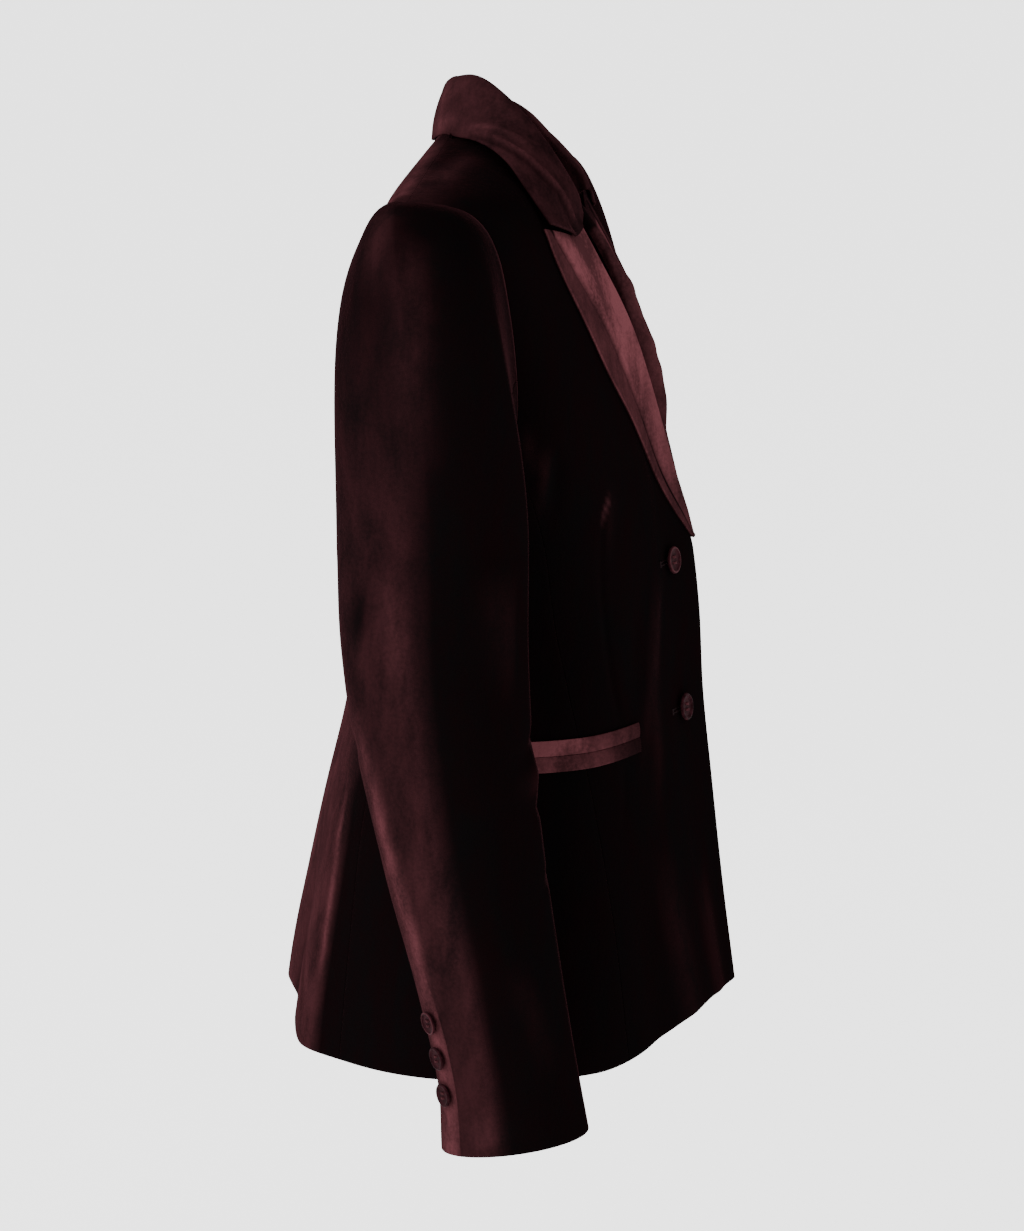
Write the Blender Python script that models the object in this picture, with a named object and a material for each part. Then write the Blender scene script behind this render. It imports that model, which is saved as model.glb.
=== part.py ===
"""Peak-lapel velvet blazer, filled out as when worn, with nothing inside it.

Metres, +Z up, +X to the wearer's left, -Y to the front. The origin lies between
the shoulders at the height of the nape, where the wearer carries the garment.
"""
import math
from collections import namedtuple

import bmesh
import bpy
import numpy as np
from mathutils import Vector

# Cloth and making
WALL = 0.002
SEAM_GAP = 0.0003
RIGHT = -1
LEFT = 1
SIDES = {"right": RIGHT, "left": LEFT}
BODY_MIDDLE = (0.0, 0.0, -0.3)

# Level rings of the body, hem to shoulder: heights at centre front and centre back, fall of
# the ring towards the shoulder point, half width, y at centre front, centre back and side,
# forward prow at the closing edge, how far the left front lies back of the right, fullness of
# the padded shoulder, and the power that squares the ring
Section = namedtuple(
    "Section", "z_front z_back slope half_width front back side prow left_back pad square"
)
SECTIONS = (
    Section(-0.5690, -0.5860, 0.000, 0.190, -0.1450, 0.141, 0.000, 0.009, 0.000, 0.0, 0.92),
    Section(-0.5000, -0.5170, 0.000, 0.178, -0.1350, 0.132, 0.001, 0.010, 0.000, 0.0, 0.92),
    Section(-0.4300, -0.4400, 0.000, 0.163, -0.1255, 0.121, 0.002, 0.012, 0.000, 0.0, 0.92),
    Section(-0.3700, -0.3740, 0.000, 0.149, -0.1175, 0.107, 0.003, 0.014, 0.000, 0.0, 0.92),
    Section(-0.3100, -0.3120, 0.000, 0.143, -0.1125, 0.096, 0.005, 0.016, 0.000, 0.0, 0.90),
    Section(-0.2600, -0.2600, 0.000, 0.151, -0.1060, 0.097, 0.008, 0.016, 0.000, 0.0, 0.85),
    Section(-0.2100, -0.2100, 0.000, 0.165, -0.0980, 0.101, 0.012, 0.011, 0.000, 0.0, 0.80),
    Section(-0.1650, -0.1650, 0.020, 0.174, -0.0900, 0.102, 0.016, 0.005, 0.003, 0.0, 0.76),
    Section(-0.1200, -0.1200, 0.050, 0.182, -0.0800, 0.097, 0.020, 0.000, 0.007, 0.0, 0.75),
    Section(-0.0780, -0.0780, 0.100, 0.187, -0.0660, 0.084, 0.023, 0.000, 0.016, 0.1, 0.75),
    Section(-0.0420, -0.0420, 0.150, 0.190, -0.0500, 0.0685, 0.025, 0.000, 0.025, 0.3, 0.75),
    Section(-0.0120, -0.0120, 0.205, 0.191, -0.0290, 0.0505, 0.026, 0.000, 0.024, 0.6, 0.75),
    Section(0.0055, 0.0055, 0.245, 0.192, -0.0040, 0.039, 0.027, 0.000, 0.014, 1.0, 0.75),
    Section(0.0115, 0.0115, 0.258, 0.192, 0.0270, 0.027, 0.027, 0.000, 0.000, 1.0, 0.75),
)
FLAT_ON_TOP = ("z_front", "z_back", "slope")
SLOPE_ROUND = 0.040
HEM_FALL = (math.radians(19.0), math.radians(36.0))
CENTRE_LIFT = 0.022
LIFT_FROM = math.radians(138.0)
LIFT_OVER = math.radians(24.0)
LIFT_DIES_AT = -0.42
PROW_REACH = 0.05
PROW_ROUND = 0.006
LAP = {RIGHT: 0.013, LEFT: 0.034}
TUCK = WALL + 0.0020
TUCK_FROM = 0.060
TUCK_OVER = 0.032

# Flare ridges of each back half: angle from centre front, half width, height, and the
# level above which the ridge has died out
Ridge = namedtuple("Ridge", "angle spread height dies_at")
FLARE = (
    Ridge(139.0, 12.0, 0.010, -0.36),
    Ridge(167.0, 9.0, 0.009, -0.34),
)

# Armhole: bottom level, how far it cuts to front and back of the side, roundness
ARMHOLE_BOTTOM = -0.212
ARMHOLE_FRONT = 29.0
ARMHOLE_BACK = 30.0
ARMHOLE_ROUND = 0.8
SIDE_TOP = -0.180

# Seams of the side panel: level, angle of its front seam and of its back seam
Seam = namedtuple("Seam", "z front back")
SEAMS = (
    Seam(-0.569, 45.0, 123.0),
    Seam(-0.485, 46.5, 123.5),
    Seam(-0.400, 52.0, 123.5),
    Seam(-0.340, 58.5, 121.0),
    Seam(-0.300, 62.0, 118.0),
    Seam(-0.240, 63.5, 115.0),
)

# Roll line of the lapel above the break: level and distance from the centre on its own side
Roll = namedtuple("Roll", "z x")
BREAK = -0.272
ROLL_LINE = (
    Roll(-0.200, 0.008),
    Roll(-0.127, 0.035),
    Roll(-0.075, 0.055),
    Roll(-0.030, 0.066),
    Roll(0.0115, 0.068),
)
NECK_HALF = ROLL_LINE[-1].x
NAPE_LEVEL = -0.002

# Lapel: place along the roll line and, across from it, the outer edge on the same side.
# The left one starts higher, where the right front covers it.
Turn = namedtuple("Turn", "roll_z edge_z edge_x")
LAPEL = (
    Turn(-0.266, -0.264, -0.008),
    Turn(-0.235, -0.225, 0.022),
    Turn(-0.195, -0.180, 0.058),
    Turn(-0.155, -0.139, 0.090),
    Turn(-0.110, -0.089, 0.112),
    Turn(-0.076, -0.056, 0.1225),
    Turn(-0.0580, -0.0360, 0.1225),
)
LAPEL_START = {RIGHT: 0.0, LEFT: 0.30}
ROLL_HEIGHT = 0.0055
ROLL_AT_BREAK = 0.2
ROLL_FULL_AT = 0.5
ROLL_EASES_FROM = 0.5
ROLL_AT_GORGE = 0.4
ROLL_SPREAD = 0.16
LAPEL_CLEAR = 0.0006
LAPEL_FACES = (0.0, -1.0, 0.3)
SEAT = WALL + 0.0015

# Collar of one half, centre back to gorge: place of its seam, 0 to 1 along the back's neckline
# and 1 to 2 down the front's roll line, top of the fold, lower edge of the fall, and how far
# the left fold lies back of the right and below it
Station = namedtuple("Station", "seam fold_x fold_y fold_z fall_x fall_y fall_z left_back left_down")
COLLAR = (
    Station(0.00, 0.0000, 0.0365, 0.0365, 0.0000, 0.0500, -0.0025, 0.000, 0.000),
    Station(0.34, 0.0280, 0.0310, 0.0380, 0.0290, 0.0465, 0.0000, 0.002, 0.008),
    Station(0.67, 0.0470, 0.0150, 0.0405, 0.0540, 0.0355, 0.0050, 0.010, 0.016),
    Station(1.00, 0.0550, 0.0000, 0.0345, 0.0690, 0.0220, 0.0045, 0.020, 0.014),
    Station(1.16, 0.0610, -0.0210, 0.0170, 0.0880, 0.0015, 0.0010, 0.025, 0.006),
    Station(1.45, 0.0665, -0.0405, -0.0060, 0.1060, -0.0180, -0.0085, 0.027, 0.004),
    Station(1.83, 0.0680, -0.0560, -0.0310, 0.1150, -0.0330, -0.0250, 0.0230, 0.001),
    Station(2.00, 0.0640, -0.0570, -0.0430, 0.1215, -0.0500, -0.0455, 0.0195, -0.001),
)
GORGE_LEVEL = -0.0410
FOLD_RADIUS = 0.004
FALL_BOW = 0.0025
FOLD_SHARE = 0.4

# Notch between collar and lapel: where it lies across the collar's fall and across the lapel,
# how far the collar's end dips to it and the lapel rises from it to the roll line, and the
# shares of collar and lapel below which both ends are straight
COLLAR_NOTCH = 0.25
COLLAR_DIP = (0.0, -0.0010, -0.0120)
COLLAR_DIPS_FROM = 0.84
LAPEL_NOTCH = 1 / 3
LAPEL_RISE = 0.0155
LAPEL_RISES_FROM = 0.80

# Double-welt pocket: level of the slit, its ends round the body, and the welts on the cloth
POCKET_LEVEL = -0.379
POCKET_FROM = math.radians(33.0)
POCKET_TO = math.radians(79.0)
WELT_HEIGHT = 0.009
WELT_CLEAR = 0.0008
WELT_THICK = 0.0014
WELT_CROWN = 0.0006

# Buttons, turned about their own axis: radius and height of each corner, from the thread shank
# under the disc to the dished top. Under the cuff buttons the flat faces of the sleeve lie a
# little inside its round, and the buttons follow them
Corner = namedtuple("Corner", "radius height")
BUTTON_PROFILE = (
    Corner(0.28, 0.00),
    Corner(0.28, 0.14),
    Corner(0.80, 0.16),
    Corner(0.97, 0.24),
    Corner(1.00, 0.34),
    Corner(0.95, 0.44),
    Corner(0.82, 0.45),
    Corner(0.66, 0.38),
)
BUTTON_SIDES = 16
BUTTON_CLEAR = 0.0006
FRONT_BUTTON_RADIUS = 0.009
FRONT_BUTTON_X = 0.020
FRONT_BUTTONS = {"upper": -0.2762, "lower": -0.3745}
CUFF_BUTTON_RADIUS = 0.0075
CUFF_BUTTON_TURN = 307.0
CUFF_BUTTON_IN = 0.0009
CUFF_BUTTONS = {"1": -0.5263, "2": -0.5488, "3": -0.5723}

# Sleeve rings from the upper arm to the cuff: middle of the ring, half depth, outer and inner
# half width, and how steeply the ring rises to the front
Ring = namedtuple("Ring", "z x y depth outer inner rise")
SLEEVE = (
    Ring(-0.238, 0.2080, 0.0075, 0.0600, 0.040, 0.034, 0.00),
    Ring(-0.300, 0.2160, 0.0045, 0.0585, 0.042, 0.039, 0.03),
    Ring(-0.360, 0.2230, -0.0040, 0.0540, 0.042, 0.040, 0.08),
    Ring(-0.430, 0.2290, -0.0165, 0.0500, 0.040, 0.038, 0.14),
    Ring(-0.500, 0.2330, -0.0322, 0.0453, 0.038, 0.035, 0.17),
    Ring(-0.560, 0.2350, -0.0444, 0.0436, 0.036, 0.033, 0.17),
    Ring(-0.605, 0.2360, -0.0500, 0.0465, 0.035, 0.033, 0.17),
)
CAP_OUT = 0.42
CAP_DOWN = 0.50
CAP_LIFT = 0.25
CAP_BACK = 0.10
FOREARM_SEAM = 112.0
HINDARM_SEAM = 322.0
HINDARM_AT_ARMHOLE = 240.0
TWIST = 1.3

# Mesh steps
LOWER_ROWS = 12
UPPER_ROWS = 8
FRONT_COLUMNS = 11
SIDE_COLUMNS = 6
BACK_COLUMNS = 11
BACK_CROWDING = 1.6
CAP_ROWS = 6
ARM_ROWS = 12
LAPEL_ROWS = 14
LAPEL_COLUMNS = 6
COLLAR_STEPS = 14
FALL_COLUMNS = 4
FOLD_COLUMN = 3
WELT_COLUMNS = 10
LEVEL_STEPS = 801
SMALL_STEP = 0.0005
SMALL_TURN = 1.0
MERGE = 0.00001

# Colour and roughness
VELVET = ((0.030, 0.008, 0.011, 1.0), 0.75)
NAP_UP = ((0.110, 0.030, 0.038, 1.0), 0.55)
HORN = ((0.045, 0.010, 0.014, 1.0), 0.35)


def slopes(knots, values, flat_end):
    """Tangents of a smooth curve through the rows of a table."""
    steps = np.diff(values) / np.diff(knots)
    middle = (steps[:-1] + steps[1:]) / 2
    last = 0.0 if flat_end else steps[-1]
    return np.concatenate([[steps[0]], middle, [last]])


def curve(at, knots, values, flat_end=False):
    """Smooth curve through the rows of a table, read at any place along them."""
    at = np.clip(at, knots[0], knots[-1])
    tangent = slopes(knots, values, flat_end)
    i = np.clip(np.searchsorted(knots, at, side="right") - 1, 0, len(knots) - 2)
    span = knots[i + 1] - knots[i]
    f = (at - knots[i]) / span
    start = values[i] * (1 + 2 * f) * (1 - f) ** 2 + tangent[i] * span * f * (1 - f) ** 2
    end = values[i + 1] * f * f * (3 - 2 * f) + tangent[i + 1] * span * f * f * (f - 1)
    return start + end


def column(rows, name):
    """One named column of a table."""
    return np.array([getattr(row, name) for row in rows])


def profile_knots():
    """Place of each section along the front profile, 0 at the hem and 1 at the shoulder."""
    path = np.stack([column(SECTIONS, "front"), column(SECTIONS, "z_front")], -1)
    lengths = np.linalg.norm(np.diff(path, axis=0), axis=1)
    along = np.concatenate([[0.0], np.cumsum(lengths)])
    return along / along[-1]


KNOTS = profile_knots()


def section(t, name):
    """A column of the section table at place t of the front profile."""
    return curve(t, KNOTS, column(SECTIONS, name), name in FLAT_ON_TOP)


def level(z):
    """Place along the front profile where the centre-front height is z."""
    fine = np.linspace(0.0, 1.0, LEVEL_STEPS)
    return np.interp(z, section(fine, "z_front"), fine)


def smooth(f):
    """Step from 0 to 1 with soft ends."""
    f = np.clip(f, 0.0, 1.0)
    return f * f * (3 - 2 * f)


def powered(v, power):
    """Signed power, for squared rings."""
    return np.sign(v) * np.abs(v) ** power


def angle_at(x, t):
    """Angle round the body, from centre front, at distance x from the centre."""
    ratio = np.clip(x / section(t, "half_width"), -1.0, 1.0)
    return np.arcsin(powered(ratio, 1 / section(t, "square")))


def flare(phi, t):
    """Outward height of the flare ridges in the back of the skirt."""
    height = np.zeros(np.broadcast(phi, t).shape)
    for ridge in FLARE:
        bell = np.exp(-((phi - math.radians(ridge.angle)) / math.radians(ridge.spread)) ** 2)
        fade = smooth(1 - t / level(ridge.dies_at))
        height = height + ridge.height * bell * fade
    return height


def left_back(phi, t):
    """How far the left half lies back of the right at angle phi and place t."""
    return section(t, "left_back") * np.clip(np.cos(phi), 0.0, 1.0)


def form(side, phi, t):
    """Outer face of the body at angle phi from centre front and place t of the profile."""
    phi, t = np.broadcast_arrays(np.asarray(phi, float), np.asarray(t, float))
    square = section(t, "square")
    middle = section(t, "side")
    swell = 1 + flare(phi, t) / section(t, "half_width")
    x = section(t, "half_width") * powered(np.sin(phi), square) * swell
    reach = np.where(np.cos(phi) > 0, middle - section(t, "front"), section(t, "back") - middle)
    reach = reach * (1 + section(t, "pad") * np.sin(phi) ** 2)
    y = middle - reach * powered(np.cos(phi), square) * swell
    ahead = np.sqrt((side * x - LAP[RIGHT]) ** 2 + PROW_ROUND ** 2)
    prow = section(t, "prow") * np.clip(1 - ahead / PROW_REACH, 0.0, 1.0) ** 2
    y = y - prow * (np.cos(phi) > 0)
    if side == LEFT:
        y = y + left_back(phi, t)
    z_front = section(t, "z_front")
    z = z_front + (section(t, "z_back") - z_front) * smooth((phi - HEM_FALL[0]) / HEM_FALL[1])
    z = z + CENTRE_LIFT * smooth((phi - LIFT_FROM) / LIFT_OVER) * smooth(1 - t / level(LIFT_DIES_AT))
    z = z - section(t, "slope") * (np.sqrt(x * x + SLOPE_ROUND ** 2) - SLOPE_ROUND)
    return np.stack([side * x, y, z], -1)


def armhole_reach(t):
    """Share of the armhole's width at place t, 0 at its bottom and top."""
    bottom = level(ARMHOLE_BOTTOM)
    f = np.clip((t - bottom) / (1 - bottom), 0.0, 1.0)
    return (2 * np.sqrt(f * (1 - f))) ** ARMHOLE_ROUND


def armhole_depth(share):
    """Place along the profile of the armhole's lower edge, for a share of its width."""
    bottom = level(ARMHOLE_BOTTOM)
    f = (1 - np.sqrt(1 - np.clip(share, 0.0, 1.0) ** (2 / ARMHOLE_ROUND))) / 2
    return bottom + (1 - bottom) * f


def front_seam(t):
    """Angle of the front's side edge: the side seam, then the armhole."""
    top = level(SIDE_TOP)
    armhole = 90.0 - ARMHOLE_FRONT * armhole_reach(np.maximum(t, top))
    meet = 90.0 - ARMHOLE_FRONT * armhole_reach(top)
    knots = np.append(level(column(SEAMS, "z")), top)
    seam = curve(t, knots, np.append(column(SEAMS, "front"), meet))
    return np.radians(np.where(t > top, armhole, seam))


def back_seam(t):
    """Angle of the back's side edge: the side seam, then the armhole."""
    top = level(SIDE_TOP)
    armhole = 90.0 + ARMHOLE_BACK * armhole_reach(np.maximum(t, top))
    meet = 90.0 + ARMHOLE_BACK * armhole_reach(top)
    knots = np.append(level(column(SEAMS, "z")), top)
    seam = curve(t, knots, np.append(column(SEAMS, "back"), meet))
    return np.radians(np.where(t > top, armhole, seam))


def closing_x(side, t):
    """Distance of the front's closing edge from the centre: straight, then the roll line."""
    knots = np.append(level(BREAK), level(column(ROLL_LINE, "z")))
    return curve(t, knots, np.append(-LAP[side], column(ROLL_LINE, "x")))


def front_patch(side):
    """Front: s from the closing edge to the side, t from the hem to the shoulder seam."""
    def patch(s, t):
        edge = angle_at(closing_x(side, t), t)
        phi = edge + (front_seam(t) - edge) * s
        points = form(side, phi, t)
        if side == LEFT:
            points[..., 1] += TUCK * smooth((TUCK_FROM - points[..., 0]) / TUCK_OVER)
        return points
    return patch


def side_patch(side):
    """Side panel: s from its front seam to its back seam, r from the hem to the armhole."""
    def patch(s, r):
        top = level(SIDE_TOP)
        first, last = front_seam(top), back_seam(top)
        turn = np.degrees(first + (last - first) * s) - 90.0
        widest = np.where(turn < 0, ARMHOLE_FRONT, ARMHOLE_BACK)
        t = r * armhole_depth(np.abs(turn) / widest)
        front, back = front_seam(r * top), back_seam(r * top)
        return form(side, front + (back - front) * s, t)
    return patch


def neckline(phi):
    """Place along the profile of the back's top edge, at angle phi."""
    rise = smooth((math.pi - phi) / angle_at(NECK_HALF, 1.0))
    return 1 - (1 - level(NAPE_LEVEL)) * (1 - rise)


def back_patch(side):
    """Back: s from the centre-back seam to the side, r from the hem to neck and shoulder."""
    def patch(s, r):
        cut = smooth((r - level(SIDE_TOP)) / (1 - level(SIDE_TOP)))
        t = r * (1 - cut * (1 - neckline(math.pi - math.pi / 2 * s)))
        phi = math.pi + (back_seam(r) - math.pi) * s
        return form(side, phi, t)
    return patch


def normals(patch, s, t):
    """Outward direction of a patch, from small steps along it."""
    ds = patch(np.clip(s + SMALL_STEP, 0, 1), t) - patch(np.clip(s - SMALL_STEP, 0, 1), t)
    dt = patch(s, np.clip(t + SMALL_STEP, 0, 1)) - patch(s, np.clip(t - SMALL_STEP, 0, 1))
    n = np.cross(ds, dt)
    return n / np.linalg.norm(n, axis=-1, keepdims=True)


def outward(n, points):
    """Turns directions so that they point away from the body's axis."""
    return n * np.sign(np.sum(n * (points - np.array(BODY_MIDDLE)), -1).mean())


def inset(grid):
    """Draws the four edges of a grid in by half a seam gap."""
    for axis in (0, 1):
        lines = np.moveaxis(grid, axis, 0)
        for edge, inner in ((0, 1), (-1, -2)):
            step = lines[inner] - lines[edge]
            lines[edge] += step * (SEAM_GAP / 2) / np.linalg.norm(step, axis=-1, keepdims=True)
    return grid


def look(name, finish):
    """A piece's own cloth or button material."""
    colour, roughness = finish
    material = bpy.data.materials.new(name)
    material.use_nodes = True
    shader = material.node_tree.nodes["Principled BSDF"]
    shader.inputs["Base Color"].default_value = colour
    shader.inputs["Roughness"].default_value = roughness
    shader.inputs["Metallic"].default_value = 0.0
    return material


def add_object(name, mesh, finish):
    """One named piece from its mesh."""
    mesh.materials.append(look(name, finish))
    mesh.shade_smooth()
    piece = bpy.data.objects.new(name, mesh)
    bpy.context.collection.objects.link(piece)
    return piece


def quads(rows, columns, start, flip):
    """Faces of a grid of points that begins at index start."""
    faces = []
    for i in range(rows - 1):
        for j in range(columns - 1):
            a = start + i * columns + j
            face = (a, a + 1, a + columns + 1, a + columns)
            faces.append(face[::-1] if flip else face)
    return faces


def border(rows, columns):
    """Indices round the edge of a grid, in the order of its faces."""
    bottom = [j for j in range(columns)]
    right = [i * columns + columns - 1 for i in range(1, rows)]
    top = [(rows - 1) * columns + j for j in range(columns - 2, -1, -1)]
    left = [i * columns for i in range(rows - 2, 0, -1)]
    return bottom + right + top + left


def add_wall(name, outer, inner, finish=VELVET):
    """A cloth piece: outer and inner face, closed round its edges.

    Edge faces are split the same way on both pieces of a seam, so the gap between them is even.
    """
    rows, columns = outer.shape[:2]
    count = rows * columns
    ds = outer[0, 1] - outer[0, 0]
    dt = outer[1, 0] - outer[0, 0]
    flip = np.dot(np.cross(ds, dt), outer[0, 0] - inner[0, 0]) < 0
    faces = quads(rows, columns, 0, flip) + quads(rows, columns, count, not flip)
    ring = border(rows, columns)
    for a, b in zip(ring, ring[1:] + ring[:1]):
        deep_a, deep_b = count + a, count + b
        if a < b:
            rim = ((a, deep_a, deep_b), (a, deep_b, b))
        else:
            rim = ((a, deep_a, b), (deep_a, deep_b, b))
        faces.extend(face[::-1] if flip else face for face in rim)
    verts = np.concatenate([outer.reshape(-1, 3), inner.reshape(-1, 3)])
    mesh = bpy.data.meshes.new(name)
    mesh.from_pydata([tuple(v) for v in verts], [], faces)
    add_object(name, mesh, finish)


def add_panel(name, patch, across, along):
    """A body panel from its patch function and the places of its columns and rows."""
    s, t = np.meshgrid(across, along)
    outer = patch(s, t)
    inner = outer - WALL * outward(normals(patch, s, t), outer)
    add_wall(name, inset(outer), inset(inner))


def body_rows():
    """Places of the body's rows: hem to side-panel top, then to the shoulder."""
    top = level(SIDE_TOP)
    lower = np.linspace(0.0, top, LOWER_ROWS)
    upper = top + (1 - top) * np.sin(np.linspace(0.0, math.pi / 2, UPPER_ROWS + 1))[1:]
    return np.concatenate([lower, upper])


def add_body(word, side):
    """Front, side and back panel of one half."""
    rows = body_rows()
    top = level(SIDE_TOP)
    add_panel("front_" + word, front_patch(side), np.linspace(0, 1, FRONT_COLUMNS), rows)
    add_panel("side_" + word, side_patch(side), np.linspace(0, 1, SIDE_COLUMNS + 1),
              rows[:LOWER_ROWS] / top)
    add_panel("back_" + word, back_patch(side), np.linspace(0, 1, BACK_COLUMNS) ** BACK_CROWDING,
              rows)


def armhole_loop(side):
    """Points and turn angles round the armhole: over the top, front, underarm and back."""
    rows = body_rows()[LOWER_ROWS - 1:]
    front = front_patch(side)(1.0, rows[::-1])
    columns = np.linspace(0, 1, SIDE_COLUMNS + 1)[1:-1]
    under = side_patch(side)(columns, 1.0)
    back = back_patch(side)(1.0, rows[:-1])
    bottom = level(ARMHOLE_BOTTOM)
    climb = np.degrees(np.arccos(2 * (rows - bottom) / (1 - bottom) - 1))
    low = climb[0] + (360.0 - 2 * climb[0]) * columns
    turns = np.concatenate([climb[::-1], low, 360.0 - climb[:-1]])
    return np.concatenate([front, under, back]), turns


def ring_points(side, place, turn):
    """Points of the sleeve's rings, 0 at the upper arm and 1 at the cuff."""
    knots = np.linspace(0.0, 1.0, len(SLEEVE))
    ring = Ring(*(curve(place, knots, column(SLEEVE, name)) for name in Ring._fields))
    turn = np.radians(turn)
    width = np.where(np.cos(turn) > 0, ring.outer, ring.inner)
    forward = ring.depth * np.sin(turn)
    x = side * (ring.x + width * np.cos(turn))
    return np.stack([x, ring.y - forward, ring.z + ring.rise * forward], -1)


def seam_columns(turns):
    """Columns of the forearm seam and the hindarm seam in the armhole loop."""
    forearm = int(np.argmin(abs(turns - FOREARM_SEAM)))
    hindarm = int(np.argmin(abs(turns - HINDARM_AT_ARMHOLE)))
    return forearm, hindarm


def sleeve_grid(side):
    """Outer face of a whole sleeve: a row for each ring, armhole to cuff."""
    start, turns = armhole_loop(side)
    count = len(turns)
    forearm, hindarm = seam_columns(turns)
    marks = (0, forearm, hindarm, count)
    cuff_turns = np.interp(np.arange(count), marks, (0.0, FOREARM_SEAM, HINDARM_SEAM, 360.0))
    place = np.linspace(0.0, 1.0, ARM_ROWS + 1)[:, None]
    arm = ring_points(side, place, turns + (cuff_turns - turns) * smooth(place * TWIST))
    reach = np.linalg.norm(arm[0] - start, axis=-1, keepdims=True)
    lift = CAP_LIFT * np.clip(np.cos(np.radians(turns)), 0.0, 1.0)
    back = CAP_BACK * np.clip(-np.sin(np.radians(turns)), 0.0, 1.0)
    out = np.stack([np.full(count, float(side)), back, lift], -1)
    leave = start + out * reach * CAP_OUT
    arrive = arm[0] + np.array([0.0, 0.0, 1.0]) * reach * CAP_DOWN
    f = np.linspace(0.0, 1.0, CAP_ROWS + 1)[:-1, None, None]
    cap = (1 - f) ** 3 * start + 3 * f * (1 - f) ** 2 * leave
    cap = cap + 3 * f * f * (1 - f) * arrive + f ** 3 * arm[0]
    return np.concatenate([cap, arm]), forearm, hindarm


def ring_normals(grid):
    """Outward directions of a grid of closed rings."""
    round_step = np.roll(grid, -1, axis=1) - np.roll(grid, 1, axis=1)
    n = np.cross(round_step, np.gradient(grid, axis=0))
    n /= np.linalg.norm(n, axis=-1, keepdims=True)
    away = grid - grid.mean(axis=1, keepdims=True)
    return n * np.sign(np.sum(n * away, -1).mean())


def add_sleeve(word, side):
    """Upper and under sleeve of one arm."""
    outer, forearm, hindarm = sleeve_grid(side)
    inner = outer - WALL * ring_normals(outer)
    count = outer.shape[1]
    upper = np.arange(hindarm, count + forearm + 1) % count
    under = np.arange(forearm, hindarm + 1)
    add_wall("sleeve_upper_" + word, inset(outer[:, upper]), inset(inner[:, upper]))
    add_wall("sleeve_under_" + word, inset(outer[:, under]), inset(inner[:, under]))


def unit(v):
    """Directions of unit length."""
    return v / np.linalg.norm(v, axis=-1, keepdims=True)


def grid_normals(grid, towards):
    """Directions across a grid of points, on the side that faces a given direction."""
    n = unit(np.cross(np.gradient(grid, axis=1), np.gradient(grid, axis=0)))
    return n * np.sign(np.sum(n * towards, -1).mean())


def square_to(v, line):
    """Directions turned square to a line."""
    line = unit(line)
    return unit(v - line * np.sum(v * line, -1, keepdims=True))


def roll_base(side, t):
    """The front's roll edge at place t: point, outward direction, and direction off the edge."""
    patch = front_patch(side)
    edge = patch(0.0, t)
    n = outward(normals(patch, np.zeros_like(t), t), edge)
    line = patch(0.0, np.clip(t + SMALL_STEP, 0, 1)) - patch(0.0, np.clip(t - SMALL_STEP, 0, 1))
    return edge, n, square_to(edge - patch(SMALL_STEP, t), line)


def lapel_grid(side):
    """Visible face of a lapel: a row across it for each place along the roll line."""
    place = np.linspace(LAPEL_START[side], 1.0, LAPEL_ROWS + 1)
    knots = np.linspace(0.0, 1.0, len(LAPEL))
    roll_z = curve(place, knots, column(LAPEL, "roll_z"))
    edge_z = curve(place, knots, column(LAPEL, "edge_z"))
    edge_x = curve(place, knots, column(LAPEL, "edge_x"))
    rise = LAPEL_RISE * smooth((place - LAPEL_RISES_FROM) / (1 - LAPEL_RISES_FROM))
    roll_t = level(roll_z + rise)
    roll_x = closing_x(side, roll_t)
    edge, n, off = roll_base(side, roll_t)
    swell = ROLL_AT_BREAK + (1 - ROLL_AT_BREAK) * smooth(place / ROLL_FULL_AT)
    ease = smooth((place - ROLL_EASES_FROM) / (1 - ROLL_EASES_FROM))
    roll = (ROLL_HEIGHT * swell * (1 - (1 - ROLL_AT_GORGE) * ease))[:, None]
    high = WALL + LAPEL_CLEAR + roll
    start = [edge + off * SEAT - n * WALL / 2, edge + off * (SEAT + roll / 2) + n * high / 2]
    across = []
    for f in np.linspace(0.0, 1.0, LAPEL_COLUMNS + 1):
        t = level(roll_z + (edge_z - roll_z) * f + rise * max(1 - f / LAPEL_NOTCH, 0.0))
        lift = WALL + LAPEL_CLEAR + roll * math.exp(-f / ROLL_SPREAD)
        phi = angle_at(roll_x + (edge_x - roll_x) * f, t)
        across.append(form(side, phi, t) + form_normals(side, phi, t) * lift)
    return np.stack(start + across, 1)


def add_lapel(word, side):
    """Turned-back lapel of one front, with its roll."""
    outer = lapel_grid(side)
    inner = outer - WALL * grid_normals(outer, np.array(LAPEL_FACES))
    add_wall("lapel_" + word, outer, inner, NAP_UP)


def neck_base(side, phi):
    """The back's neckline at angle phi: point and direction off the edge."""
    t = neckline(phi)
    line = form(side, phi - SMALL_STEP, neckline(phi - SMALL_STEP))
    line = line - form(side, phi + SMALL_STEP, neckline(phi + SMALL_STEP))
    off = unit(np.cross(line, form_normals(side, phi, t)))
    return form(side, phi, t), off * -np.sign(off[:, 1:2])


def neck_seam(side, place):
    """Where the collar sits: 0 to 1 along the back's neckline, 1 to 2 down the roll line."""
    along, down = np.clip(place, 0.0, 1.0), np.clip(place - 1.0, 0.0, 1.0)
    nape, rise = neck_base(side, math.pi - along * angle_at(NECK_HALF, 1.0))
    top = ROLL_LINE[-1].z
    roll, _, off = roll_base(side, level(top + (GORGE_LEVEL - top) * down))
    on_back = (place <= 1.0)[:, None]
    on_front = (place >= 1.0)[:, None]
    return np.where(on_back, nape, roll) + SEAT * (rise * on_back + off * on_front)


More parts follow.
